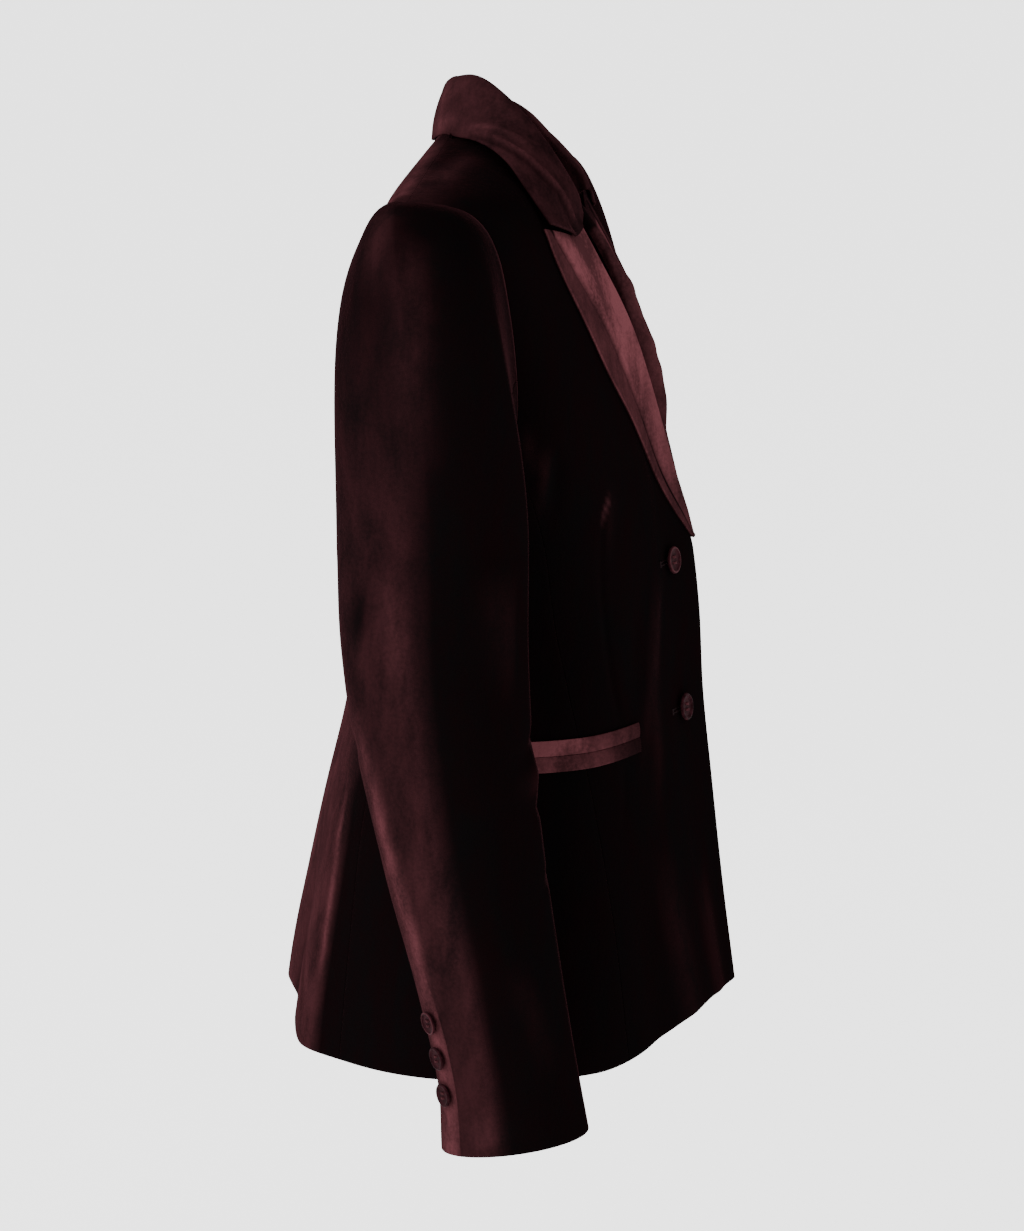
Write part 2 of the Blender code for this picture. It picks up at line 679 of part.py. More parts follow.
def collar_half(side):
    """Visible face of half the collar: a row over the fold for each station."""
    knots = np.linspace(0.0, 1.0, len(COLLAR))
    place = np.linspace(0.0, 1.0, COLLAR_STEPS + 1)
    row = {name: curve(place, knots, column(COLLAR, name)) for name in Station._fields}
    seam = neck_seam(side, row["seam"])
    fold = np.stack([side * row["fold_x"], row["fold_y"], row["fold_z"]], -1)
    fall = np.stack([side * row["fall_x"], row["fall_y"], row["fall_z"]], -1)
    if side == LEFT:
        fold[:, 1] += row["left_back"]
        fold[:, 2] -= row["left_down"]
        t = level(row["fall_z"])
        fall[:, 1] += left_back(angle_at(row["fall_x"], t), t) * (row["seam"] > 1.0)
    up = unit(fold - (seam + fall) / 2)
    out = fall - seam
    out = unit(out - up * np.sum(out * up, -1, keepdims=True))
    radius = np.minimum(FOLD_RADIUS, FOLD_SHARE * np.linalg.norm(fold - seam, axis=-1, keepdims=True))
    neck_side = fold - (out + up) * radius
    fall_side = fold + (out - up) * radius
    bow = np.cross(unit(fall - fall_side), np.gradient(fold, axis=0))
    bow = unit(bow) * np.sign(np.sum(bow * out, -1, keepdims=True)) * FALL_BOW
    dip = smooth((place - COLLAR_DIPS_FROM) / (1 - COLLAR_DIPS_FROM))[:, None] * np.array(COLLAR_DIP)
    path = [seam, seam + (neck_side - seam) / 2, neck_side, fold, fall_side]
    for f in np.linspace(0.0, 1.0, FALL_COLUMNS + 1)[1:]:
        notch = min(f / COLLAR_NOTCH, (1 - f) / (1 - COLLAR_NOTCH))
        path.append(fall_side + (fall - fall_side) * f + bow * 4 * f * (1 - f) + dip * notch)
    return np.stack(path, 1)


def add_collar():
    """The folded collar: stand and fall in one piece, both halves."""
    right = collar_half(RIGHT)[::-1]
    left = collar_half(LEFT)[1:]
    outer = np.concatenate([right, left])
    fold = outer[:, FOLD_COLUMN]
    over = fold - (outer[:, 0] + outer[:, -1]) / 2
    n = unit(np.cross(np.gradient(outer, axis=1), np.gradient(outer, axis=0)))
    n = n * np.sign(np.sum(n[:, FOLD_COLUMN] * over, -1).mean())
    add_wall("collar", outer, outer - WALL * n)


def form_normals(side, phi, t):
    """Outward directions of the body's outer face."""
    across = form(side, phi + SMALL_STEP, t) - form(side, phi - SMALL_STEP, t)
    along = form(side, phi, t + SMALL_STEP) - form(side, phi, t - SMALL_STEP)
    return outward(unit(np.cross(across, along)), form(side, phi, t))


def add_welts(word, side):
    """Upper and lower welt of one pocket, lying on front and side panel."""
    for name, way in (("upper", 1), ("lower", -1)):
        low = SEAM_GAP / 2 * way
        z = POCKET_LEVEL + np.linspace(low, low + WELT_HEIGHT * way, 3)
        phi, t = np.meshgrid(np.linspace(POCKET_FROM, POCKET_TO, WELT_COLUMNS + 1), level(z))
        at, n = form(side, phi, t), form_normals(side, phi, t)
        crown = np.array([0.0, WELT_CROWN, 0.0])[:, None, None]
        outer = at + n * (WELT_CLEAR + WELT_THICK + crown)
        add_wall("pocket_welt_" + name + "_" + word, outer, at + n * WELT_CLEAR, NAP_UP)


def add_button(name, radius, at, n):
    """A sewn button: its profile spun about the direction it faces."""
    sheet = bmesh.new()
    first = [sheet.verts.new((c.radius * radius, 0.0, c.height * radius)) for c in BUTTON_PROFILE]
    edges = [sheet.edges.new(pair) for pair in zip(first, first[1:])]
    bmesh.ops.spin(sheet, geom=first + edges, axis=(0, 0, 1), cent=(0, 0, 0),
                   angle=2 * math.pi, steps=BUTTON_SIDES, use_merge=True)
    bmesh.ops.remove_doubles(sheet, verts=sheet.verts, dist=MERGE)
    bmesh.ops.holes_fill(sheet, edges=[e for e in sheet.edges if e.is_boundary])
    bmesh.ops.recalc_face_normals(sheet, faces=sheet.faces)
    mesh = bpy.data.meshes.new(name)
    sheet.to_mesh(mesh)
    sheet.free()
    button = add_object(name, mesh, HORN)
    button.location = at + n * BUTTON_CLEAR
    button.rotation_mode = "QUATERNION"
    button.rotation_quaternion = Vector(n).to_track_quat("Z", "Y")


def add_front_buttons():
    """The two buttons of the closing, on the right front."""
    for name, z in FRONT_BUTTONS.items():
        t = level(z)
        phi = angle_at(FRONT_BUTTON_X, t)
        at = form(RIGHT, phi, t)
        add_button("button_front_" + name, FRONT_BUTTON_RADIUS, at, form_normals(RIGHT, phi, t))


def add_cuff_buttons(word, side):
    """The three buttons beside the hindarm seam of one cuff."""
    knots = np.linspace(0.0, 1.0, len(SLEEVE))
    fine = np.linspace(0.0, 1.0, LEVEL_STEPS)
    for name, z in CUFF_BUTTONS.items():
        heights = ring_points(side, fine, CUFF_BUTTON_TURN)[:, 2]
        place = np.interp(-z, -heights, fine)
        at = ring_points(side, place, CUFF_BUTTON_TURN)
        around = ring_points(side, place, CUFF_BUTTON_TURN + SMALL_TURN) - at
        down = ring_points(side, place + SMALL_STEP, CUFF_BUTTON_TURN) - at
        n = unit(np.cross(around, down))
        middle = np.array([side * curve(place, knots, column(SLEEVE, "x")),
                           curve(place, knots, column(SLEEVE, "y")), at[2]])
        n = n * np.sign(np.dot(n, at - middle))
        add_button("button_cuff_" + word + "_" + name, CUFF_BUTTON_RADIUS, at - n * CUFF_BUTTON_IN, n)


def main():
    for old in list(bpy.data.objects):
        bpy.data.objects.remove(old, do_unlink=True)
    for word, side in SIDES.items():
        add_body(word, side)
        add_sleeve(word, side)
        add_lapel(word, side)
        add_welts(word, side)
        add_cuff_buttons(word, side)
    add_collar()
    add_front_buttons()


if __name__ == "__main__":
    main()
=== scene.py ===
"""Dresses the peak-lapel velvet blazer: napped cloth shells with their creases, horn buttons, stage.

Metres, +Z up, +X to the wearer's left, -Y to the front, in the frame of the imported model.
"""
import math
from collections import namedtuple

import bmesh
import bpy
import numpy as np
from bpy.props import FloatProperty, FloatVectorProperty, PointerProperty
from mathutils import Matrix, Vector


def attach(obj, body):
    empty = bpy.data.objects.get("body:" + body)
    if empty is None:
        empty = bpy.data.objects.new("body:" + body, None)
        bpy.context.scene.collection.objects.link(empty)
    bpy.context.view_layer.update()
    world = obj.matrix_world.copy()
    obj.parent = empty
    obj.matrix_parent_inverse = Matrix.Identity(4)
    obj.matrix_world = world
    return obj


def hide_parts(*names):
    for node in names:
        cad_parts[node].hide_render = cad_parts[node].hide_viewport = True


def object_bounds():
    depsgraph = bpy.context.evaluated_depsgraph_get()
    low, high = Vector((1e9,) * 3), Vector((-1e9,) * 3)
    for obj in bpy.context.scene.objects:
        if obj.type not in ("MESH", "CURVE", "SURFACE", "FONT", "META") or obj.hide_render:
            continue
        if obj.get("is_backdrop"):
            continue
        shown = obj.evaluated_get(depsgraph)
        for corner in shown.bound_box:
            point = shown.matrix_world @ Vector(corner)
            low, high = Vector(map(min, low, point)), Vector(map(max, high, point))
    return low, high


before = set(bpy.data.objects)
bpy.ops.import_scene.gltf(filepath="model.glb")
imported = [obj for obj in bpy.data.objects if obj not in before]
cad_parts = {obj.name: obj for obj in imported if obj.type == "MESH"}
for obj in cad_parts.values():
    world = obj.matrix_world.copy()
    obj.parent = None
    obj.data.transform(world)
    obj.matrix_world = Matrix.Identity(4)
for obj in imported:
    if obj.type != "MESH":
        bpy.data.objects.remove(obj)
CAD_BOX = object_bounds()

bl_info = {
    "name": "Peak-lapel velvet blazer",
    "version": (1, 0, 0),
    "blender": (4, 5, 0),
    "location": "View3D > Sidebar > Blazer",
    "description": "Builds the cloth, creases and buttons of a peak-lapel velvet blazer",
    "category": "Object",
}

# Cloth and making: wall, gap between the solids at a seam, and how far past the seam line the
# sewn edges of the shells press together
WALL = 0.002
SEAM_GAP = 0.0003
SEAM_BITE = 0.0001
RIGHT = -1
LEFT = 1
SIDES = {"right": RIGHT, "left": LEFT}
BODY_MIDDLE = (0.0, 0.0, -0.3)

# Level rings of the body, hem to shoulder: heights at centre front and centre back, fall of
# the ring towards the shoulder point, half width, y at centre front, centre back and side,
# forward prow at the closing edge, how far the left front lies back of the right, fullness of
# the padded shoulder, and the power that squares the ring
Section = namedtuple(
    "Section", "z_front z_back slope half_width front back side prow left_back pad square"
)
SECTIONS = (
    Section(-0.5690, -0.5860, 0.000, 0.190, -0.1450, 0.141, 0.000, 0.009, 0.000, 0.0, 0.92),
    Section(-0.5000, -0.5170, 0.000, 0.178, -0.1350, 0.132, 0.001, 0.010, 0.000, 0.0, 0.92),
    Section(-0.4300, -0.4400, 0.000, 0.163, -0.1255, 0.121, 0.002, 0.012, 0.000, 0.0, 0.92),
    Section(-0.3700, -0.3740, 0.000, 0.149, -0.1175, 0.107, 0.003, 0.014, 0.000, 0.0, 0.92),
    Section(-0.3100, -0.3120, 0.000, 0.143, -0.1125, 0.096, 0.005, 0.016, 0.000, 0.0, 0.90),
    Section(-0.2600, -0.2600, 0.000, 0.151, -0.1060, 0.097, 0.008, 0.016, 0.000, 0.0, 0.85),
    Section(-0.2100, -0.2100, 0.000, 0.165, -0.0980, 0.101, 0.012, 0.011, 0.000, 0.0, 0.80),
    Section(-0.1650, -0.1650, 0.020, 0.174, -0.0900, 0.102, 0.016, 0.005, 0.003, 0.0, 0.76),
    Section(-0.1200, -0.1200, 0.050, 0.182, -0.0800, 0.097, 0.020, 0.000, 0.007, 0.0, 0.75),
    Section(-0.0780, -0.0780, 0.100, 0.187, -0.0660, 0.084, 0.023, 0.000, 0.016, 0.1, 0.75),
    Section(-0.0420, -0.0420, 0.150, 0.190, -0.0500, 0.0685, 0.025, 0.000, 0.025, 0.3, 0.75),
    Section(-0.0120, -0.0120, 0.205, 0.191, -0.0290, 0.0505, 0.026, 0.000, 0.024, 0.6, 0.75),
    Section(0.0055, 0.0055, 0.245, 0.192, -0.0040, 0.039, 0.027, 0.000, 0.014, 1.0, 0.75),
    Section(0.0115, 0.0115, 0.258, 0.192, 0.0270, 0.027, 0.027, 0.000, 0.000, 1.0, 0.75),
)

# Columns that end flat at the shoulder, rounding of its fall, fall of the hem to the back and its
# lift at the centre back, reach and rounding of the prow, overlap of the fronts, and how far the
# left front tucks behind the right
FLAT_ON_TOP = ("z_front", "z_back", "slope")
SLOPE_ROUND = 0.040
HEM_FALL = (math.radians(19.0), math.radians(36.0))
CENTRE_LIFT = 0.022
LIFT_FROM = math.radians(138.0)
LIFT_OVER = math.radians(24.0)
LIFT_DIES_AT = -0.42
PROW_REACH = 0.05
PROW_ROUND = 0.006
LAP = {RIGHT: 0.013, LEFT: 0.034}
TUCK = WALL + 0.0020
TUCK_FROM = 0.060
TUCK_OVER = 0.032

# Flare ridges of each back half: angle from centre front, half width, height, and the
# level above which the ridge has died out
Ridge = namedtuple("Ridge", "angle spread height dies_at")
FLARE = (
    Ridge(139.0, 12.0, 0.010, -0.36),
    Ridge(167.0, 9.0, 0.009, -0.34),
)

# Armhole: bottom level, how far it cuts to front and back of the side, roundness
ARMHOLE_BOTTOM = -0.212
ARMHOLE_FRONT = 29.0
ARMHOLE_BACK = 30.0
ARMHOLE_ROUND = 0.8
SIDE_TOP = -0.180

# Seams of the side panel: level, angle of its front seam and of its back seam
Seam = namedtuple("Seam", "z front back")
SEAMS = (
    Seam(-0.569, 45.0, 123.0),
    Seam(-0.485, 46.5, 123.5),
    Seam(-0.400, 52.0, 123.5),
    Seam(-0.340, 58.5, 121.0),
    Seam(-0.300, 62.0, 118.0),
    Seam(-0.240, 63.5, 115.0),
)

# Roll line of the lapel above the break: level and distance from the centre on its own side
Roll = namedtuple("Roll", "z x")
BREAK = -0.272
ROLL_LINE = (
    Roll(-0.200, 0.008),
    Roll(-0.127, 0.035),
    Roll(-0.075, 0.055),
    Roll(-0.030, 0.066),
    Roll(0.0115, 0.068),
)
NECK_HALF = ROLL_LINE[-1].x
NAPE_LEVEL = -0.002

# Lapel: place along the roll line and, across from it, the outer edge on the same side.
# The left one starts higher, where the right front covers it; there its outer edge runs on lower
# than its roll, and its end lies back on the left front
Turn = namedtuple("Turn", "roll_z edge_z edge_x")
LAPEL = (
    Turn(-0.266, -0.264, -0.008),
    Turn(-0.235, -0.225, 0.022),
    Turn(-0.195, -0.180, 0.058),
    Turn(-0.155, -0.139, 0.090),
    Turn(-0.110, -0.089, 0.112),
    Turn(-0.076, -0.056, 0.1225),
    Turn(-0.0580, -0.0360, 0.1225),
)
LAPEL_START = {RIGHT: 0.0, LEFT: 0.30}
LAPEL_EDGE_LOWER = {RIGHT: 0.0, LEFT: 0.18}
LAPEL_EDGE_OVER = 0.35
LAPEL_END_BACK = {RIGHT: 0.0, LEFT: 0.0045}
LAPEL_SINKS_OVER = 0.20

# Roll of the lapel: height, where it eases to the gorge, what is left there and at the break, where
# it is full, over what share it starts at the lower end, and how it spreads across; room under the
# lapel, the way its face looks, and how far lapel and collar sit off the edge
ROLL_HEIGHT = 0.0055
ROLL_EASES_FROM = 0.5
ROLL_AT_GORGE = 0.4
ROLL_AT_BREAK = 0.2
ROLL_FULL_AT = 0.5
ROLL_STARTS_OVER = 0.12
ROLL_SPREAD = 0.16
LAPEL_CLEAR = 0.0006
LAPEL_FACES = (0.0, -1.0, 0.3)
SEAT = 0.0012

# Collar of one half, centre back to gorge: place of its seam, 0 to 1 along the back's neckline
# and 1 to 2 down the front's roll line, top of the fold, lower edge of the fall, and how far
# the left fold lies back of the right and below it
Station = namedtuple("Station", "seam fold_x fold_y fold_z fall_x fall_y fall_z left_back left_down")
COLLAR = (
    Station(0.00, 0.0000, 0.0365, 0.0365, 0.0000, 0.0505, -0.0055, 0.000, 0.000),
    Station(0.34, 0.0280, 0.0310, 0.0380, 0.0290, 0.0475, -0.0030, 0.002, 0.008),
    Station(0.67, 0.0470, 0.0150, 0.0405, 0.0540, 0.0355, 0.0030, 0.010, 0.016),
    Station(1.00, 0.0550, 0.0000, 0.0345, 0.0690, 0.0220, 0.0028, 0.020, 0.014),
    Station(1.16, 0.0610, -0.0210, 0.0170, 0.0880, 0.0015, 0.0010, 0.025, 0.006),
    Station(1.45, 0.0665, -0.0405, -0.0060, 0.1060, -0.0180, -0.0085, 0.027, 0.004),
    Station(1.83, 0.0680, -0.0560, -0.0310, 0.1150, -0.0330, -0.0250, 0.0230, 0.001),
    Station(2.00, 0.0640, -0.0570, -0.0430, 0.1215, -0.0500, -0.0455, 0.0195, -0.001),
)
GORGE_LEVEL = -0.0520

# The stand tucks in at the neck point, under the fall, and reaches down behind the neck edge; it
# laps past the roll edge and lies behind it. The fold is round, and the fall bows out
STAND_TUCK = 0.005
STAND_DROP = 0.004
STAND_TUCK_OVER = 0.15
STAND_LAP = 0.004
STAND_BEHIND = 0.8
FOLD_RADIUS = 0.004
FALL_BOW = 0.0025
FOLD_SHARE = 0.4

# Notch between collar and lapel: where it lies across the collar's fall and across the lapel,
# how far the collar's end dips to it and the lapel rises from it to the roll line, and the
# shares of collar and lapel below which both ends are straight
COLLAR_NOTCH = 0.25
COLLAR_DIP = (0.0, -0.0010, -0.0120)
COLLAR_DIPS_FROM = 0.84
LAPEL_NOTCH = 1 / 3
LAPEL_RISE = 0.0155
LAPEL_RISES_FROM = 0.80

# Double-welt pocket: level of the slit, its ends round the body, and the welts on the cloth
POCKET_LEVEL = -0.379
POCKET_FROM = math.radians(33.0)
POCKET_TO = math.radians(79.0)
WELT_HEIGHT = 0.009
WELT_CLEAR = 0.0008
WELT_THICK = 0.0014
WELT_CROWN = 0.0006

# Faces of the cloth: colour of the painted sheen laid on through the attribute of painted light, weight
# and softness of the shader's sheen, and lean of the pile, which turns the shading. Lapels and welts get
# a brighter painted sheen colour
Face = namedtuple("Face", "nap_up sheen softness lean")
FACES = {
    "cut_velvet": Face("nap_up", 0.10, 0.16, (0.0, 0.45, -0.05)),
    "lapel_velvet": Face("lapel_nap", 0.06, 0.30, (0.0, -0.1, 0.0)),
    "welt_velvet": Face("lapel_nap", 0.08, 0.50, (0.0, 0.0, 0.45)),
}

# Velvet: stretch of its patches down the cloth; fineness, detail and curl of brushed patches,
# strokes, grain and tufts; shares of the first three in a patch, and the range spread from dark
# to light; painted light that shows between the patches and more of it on them; shade of the
# tufts; and strength and depth of the relief
PATCH_STRETCH = (1.0, 1.0, 0.4)
BRUSHED = (24.0, 4.0, 0.8)
STROKES = (90.0, 3.0, 0.4)
GRAIN = (420.0, 3.0)
TUFTS = (2400.0, 2.0)
BRUSHED_SHARE = 0.50
STROKES_SHARE = 0.30
GRAIN_SHARE = 0.20
PATCH_RANGE = (0.38, 0.62)
PATCH_LEAST = 0.40
PATCH_MORE = 1.2
TUFT_SHADE = 0.5
PATCH_RELIEF = (0.20, 0.0020)
TUFT_RELIEF = (0.35, 0.0005)

# Woven reverse: threads, wear, their shares in the colour, and relief
WEAVE = {"Scale": 420.0, "Distortion": 0.6}
WEAR = (40.0, 3.0)
WEAVE_SHARE = 0.6
WEAR_SHARE = 0.4
WEAVE_RELIEF = (0.4, 0.0003)

# Horn of the buttons: clouds, their range, fine rubbing and its relief, and the painted highlight of the
# rim
HORN_CLOUDS = (260.0, 4.0, 1.6)
CLOUD_RANGE = (0.35, 0.7)
HORN_RUB = (1500.0, 2.0)
HORN_RELIEF = (0.06, 0.0002)
RIM_PAINTED_HIGHLIGHT = 0.4

# Sewing silk: its twist and fuzz, their shares in the colour, and relief
TWIST_OF_SILK = {"Scale": 900.0}
SILK_FUZZ = (1800.0, 2.0)
TWIST_SHARE = 0.7
FUZZ_SHARE = 0.3
SILK_RELIEF = (0.5, 0.0002)

# Painted light, 0 to 1, that lightens the cloth: the turn over which painted sheen grows where sleeve
# and back face the back; its share on the sleeve, where that starts and how far from the armhole it is
# full; its share on the back and where it starts; the painted sheen of the collar; the painted light
# left on the lapels' edge band, which puts it in painted shade, and the painted highlight on their rim;
# a painted highlight along the sleeve's armhole edge; what is left of it in the first seam of a panel, a
# painted shade there; and painted highlight on raised creases and painted shade in pressed ones, per
# metre of height
NAP_OVER = 0.25
SLEEVE_PAINTED_SHEEN = 0.165
SLEEVE_SHEEN_FROM = -0.12
SLEEVE_SHEEN_FULL = 0.28
BODY_PAINTED_SHEEN = 0.26
BODY_SHEEN_FROM = 0.45
COLLAR_PAINTED_SHEEN = 0.24
LAPEL_EDGE_PAINTED_LIGHT = {RIGHT: 0.24, LEFT: 0.05}
LAPEL_RIM_HIGHLIGHT = 0.20
SEAM_HIGHLIGHT = 0.16
SEAM_SHADE = 0.25
CREASE_PAINTED_LIGHT = 24.0

# Painted sheen of the lapels, bright on the right one and dark on the left: share up from the lower end,
# and share of painted sheen
LAPEL_PAINTED_SHEEN = {
    RIGHT: ((0.0, 0.36), (0.35, 0.46), (0.55, 0.76), (0.75, 0.92), (0.93, 0.76), (1.0, 0.62)),
    LEFT: ((0.0, 0.28), (0.50, 0.36), (0.77, 0.38), (0.80, 0.32), (0.825, 0.02), (1.0, 0.0)),
}

# Pressed ditch of the lapels: share up the roll line and share across, its width across, and the
# painted shade laid along it
LAPEL_DITCH = ((0.0, 0.54), (0.3, 0.60), (0.6, 0.68), (0.85, 0.80), (1.0, 0.89))
DITCH_WIDTH = 0.03
DITCH_PAINTED_SHADE = 0.60

# Painted sheen of the welts, fading to painted shade at the front end: share along from the front end,
# and share of painted sheen
WELT_PAINTED_SHEEN = {
    "upper": ((0.0, 0.14), (0.12, 0.36), (0.41, 0.46), (0.45, 0.88), (0.66, 1.0), (1.0, 0.70)),
    "lower": ((0.0, 0.02), (0.12, 0.10), (0.25, 0.24), (0.40, 0.44), (0.55, 0.58), (1.0, 0.45)),
}

# Buttons: radius and height of each corner of the turned profile, as shares of the radius, from
# the thread shank under the disc over the raised rim to the dished middle. Rim, holes, stitches and
# wound shank are in shares of the radius too. The cuff buttons lie a little inside the round of
# the sleeve
Corner = namedtuple("Corner", "radius height")
BUTTON_PROFILE = (
    Corner(0.00, 0.10),
    Corner(0.50, 0.11),
    Corner(0.80, 0.15),
    Corner(0.94, 0.21),
    Corner(1.00, 0.30),
    Corner(0.99, 0.38),
    Corner(0.94, 0.44),
    Corner(0.88, 0.46),
    Corner(0.80, 0.44),
    Corner(0.72, 0.385),
    Corner(0.62, 0.36),
    Corner(0.40, 0.345),
    Corner(0.00, 0.34),
)
BUTTON_SIDES = 56
BUTTON_PARTS = 4
BUTTON_CLEAR = 0.0006
RIM_RADIUS = 0.90
RIM_WIDTH = 0.05
RIM_FROM = 0.38
HOLE_SPREAD = 0.22
HOLE_RADIUS = 0.105
HOLE_DEPTH = 0.17
HOLE_SIDES = 16
THREAD_RADIUS = 0.07
THREAD_BOW = 0.13
THREAD_STEPS = 15
THREAD_SIDES = 8
THREAD_SHARE = 0.6
THREAD_APART = 1.3
THREAD_ROUND = 0.6
DISH_HEIGHT = BUTTON_PROFILE[-1].height
DRILL_HEIGHT = 0.3
SHANK_TURNS = 5
SHANK_STEPS = 90
SHANK_SIDES = 6
SHANK_RADIUS = 0.2
SHANK_THREAD = 0.035
SHANK_FROM = -0.04
SHANK_TO = 0.12
FRONT_BUTTON_RADIUS = 0.009
FRONT_BUTTON_X = 0.020
FRONT_BUTTONS = {"upper": -0.2762, "lower": -0.3745}
CUFF_BUTTON_RADIUS = 0.0075
CUFF_BUTTON_TURN = 307.0
CUFF_BUTTON_IN = 0.0009
CUFF_BUTTONS = {"1": -0.5263, "2": -0.5488, "3": -0.5723}

# Worked buttonholes: ends of the slit, from the centre line, half height and thread; the purls
# along its edge and how square its ends are; and the bar of stitches at the outer end
BUTTONHOLE_FROM = 0.017
BUTTONHOLE_TO = 0.0375
BUTTONHOLE_HALF = 0.0011
BUTTONHOLE_THREAD = 0.0006
BUTTONHOLE_STEPS = 160
BUTTONHOLE_SQUARE = 0.35
PURLS = 40
PURL_SWELL = 0.22
BAR_HALF = 0.0021
BAR_STITCHES = (-0.0006, 0.0, 0.0006)
BAR_STEPS = 13

# Sleeve rings from the upper arm to the cuff: middle of the ring, half depth, outer and inner
# half width, and how steeply the ring rises to the front
Ring = namedtuple("Ring", "z x y depth outer inner rise")
SLEEVE = (
    Ring(-0.238, 0.2080, 0.0075, 0.0600, 0.040, 0.034, 0.00),
    Ring(-0.300, 0.2160, 0.0045, 0.0585, 0.042, 0.039, 0.03),
    Ring(-0.360, 0.2230, -0.0040, 0.0540, 0.042, 0.040, 0.08),
    Ring(-0.430, 0.2290, -0.0165, 0.0500, 0.040, 0.038, 0.14),
    Ring(-0.500, 0.2330, -0.0322, 0.0453, 0.038, 0.035, 0.17),
    Ring(-0.560, 0.2350, -0.0444, 0.0436, 0.036, 0.033, 0.17),
    Ring(-0.605, 0.2360, -0.0500, 0.0465, 0.035, 0.033, 0.17),
)
CAP_OUT = 0.42
CAP_DOWN = 0.50
CAP_LIFT = 0.25
CAP_BACK = 0.10
FOREARM_SEAM = 112.0
HINDARM_SEAM = 322.0
HINDARM_AT_ARMHOLE = 240.0
TWIST = 1.3

# Camera and stage: the view of the photograph, floor, and soft boxes with their power in watts
VIEW_TURN = -78.5
VIEW_RISE = 11.7
VIEW_DISTANCE = 2.6
VIEW_TARGET = (0.0, 0.0, -0.322)
SENSOR = 36.0
FOCAL_LENGTH = 113.5
FLOOR_LEVEL = -0.95
FLOOR_RADIUS = 150.0
FLOOR_SIDES = 96
FLOOR_TOOTH = (220.0, 3.0)
FLOOR_PALE = 0.88
FLOOR_PALER = 0.92
SURROUND = 1.3
FLOOR_GLOW = 1.6
SoftBox = namedtuple("SoftBox", "name at width height power")
SOFT_BOXES = (
    SoftBox("back_box", (-1.2, 2.4, 0.9), 1.4, 2.2, 75.0),
    SoftBox("front_box", (-0.6, -2.4, 1.2), 1.0, 1.6, 10.0),
)

# Rows and columns that place the seams of the sleeve round the armhole
LOWER_ROWS = 12
UPPER_ROWS = 8
SIDE_COLUMNS = 6

# Fine mesh steps
ROW_PARTS = 8
FRONT_STEPS = 150
SIDE_STEPS = 44
BACK_STEPS = 92
ARM_PARTS = 7
CAP_ROWS = 36
ARM_ROWS = 116
LAPEL_ROWS = 120
LAPEL_COLUMNS = 6
LAPEL_PARTS = 14
COLLAR_STEPS = 80
FALL_COLUMNS = 4
FOLD_COLUMN = 3
COLLAR_PARTS = 6
WELT_COLUMNS = 64
WELT_ROWS = 8
LEVEL_STEPS = 801
SMALL_STEP = 0.0005
SMALL_TURN = 1.0
PATH_STEPS = 40
EDGE_ANGLES = (60.0, 30.0, 0.0, -30.0, -60.0)
EDGE_SHARE = 0.45

# Creases: half width, height (a trough where below 0), shares of the length over which the two
# ends fade, and the path
Fold = namedtuple("Fold", "width height start end path")

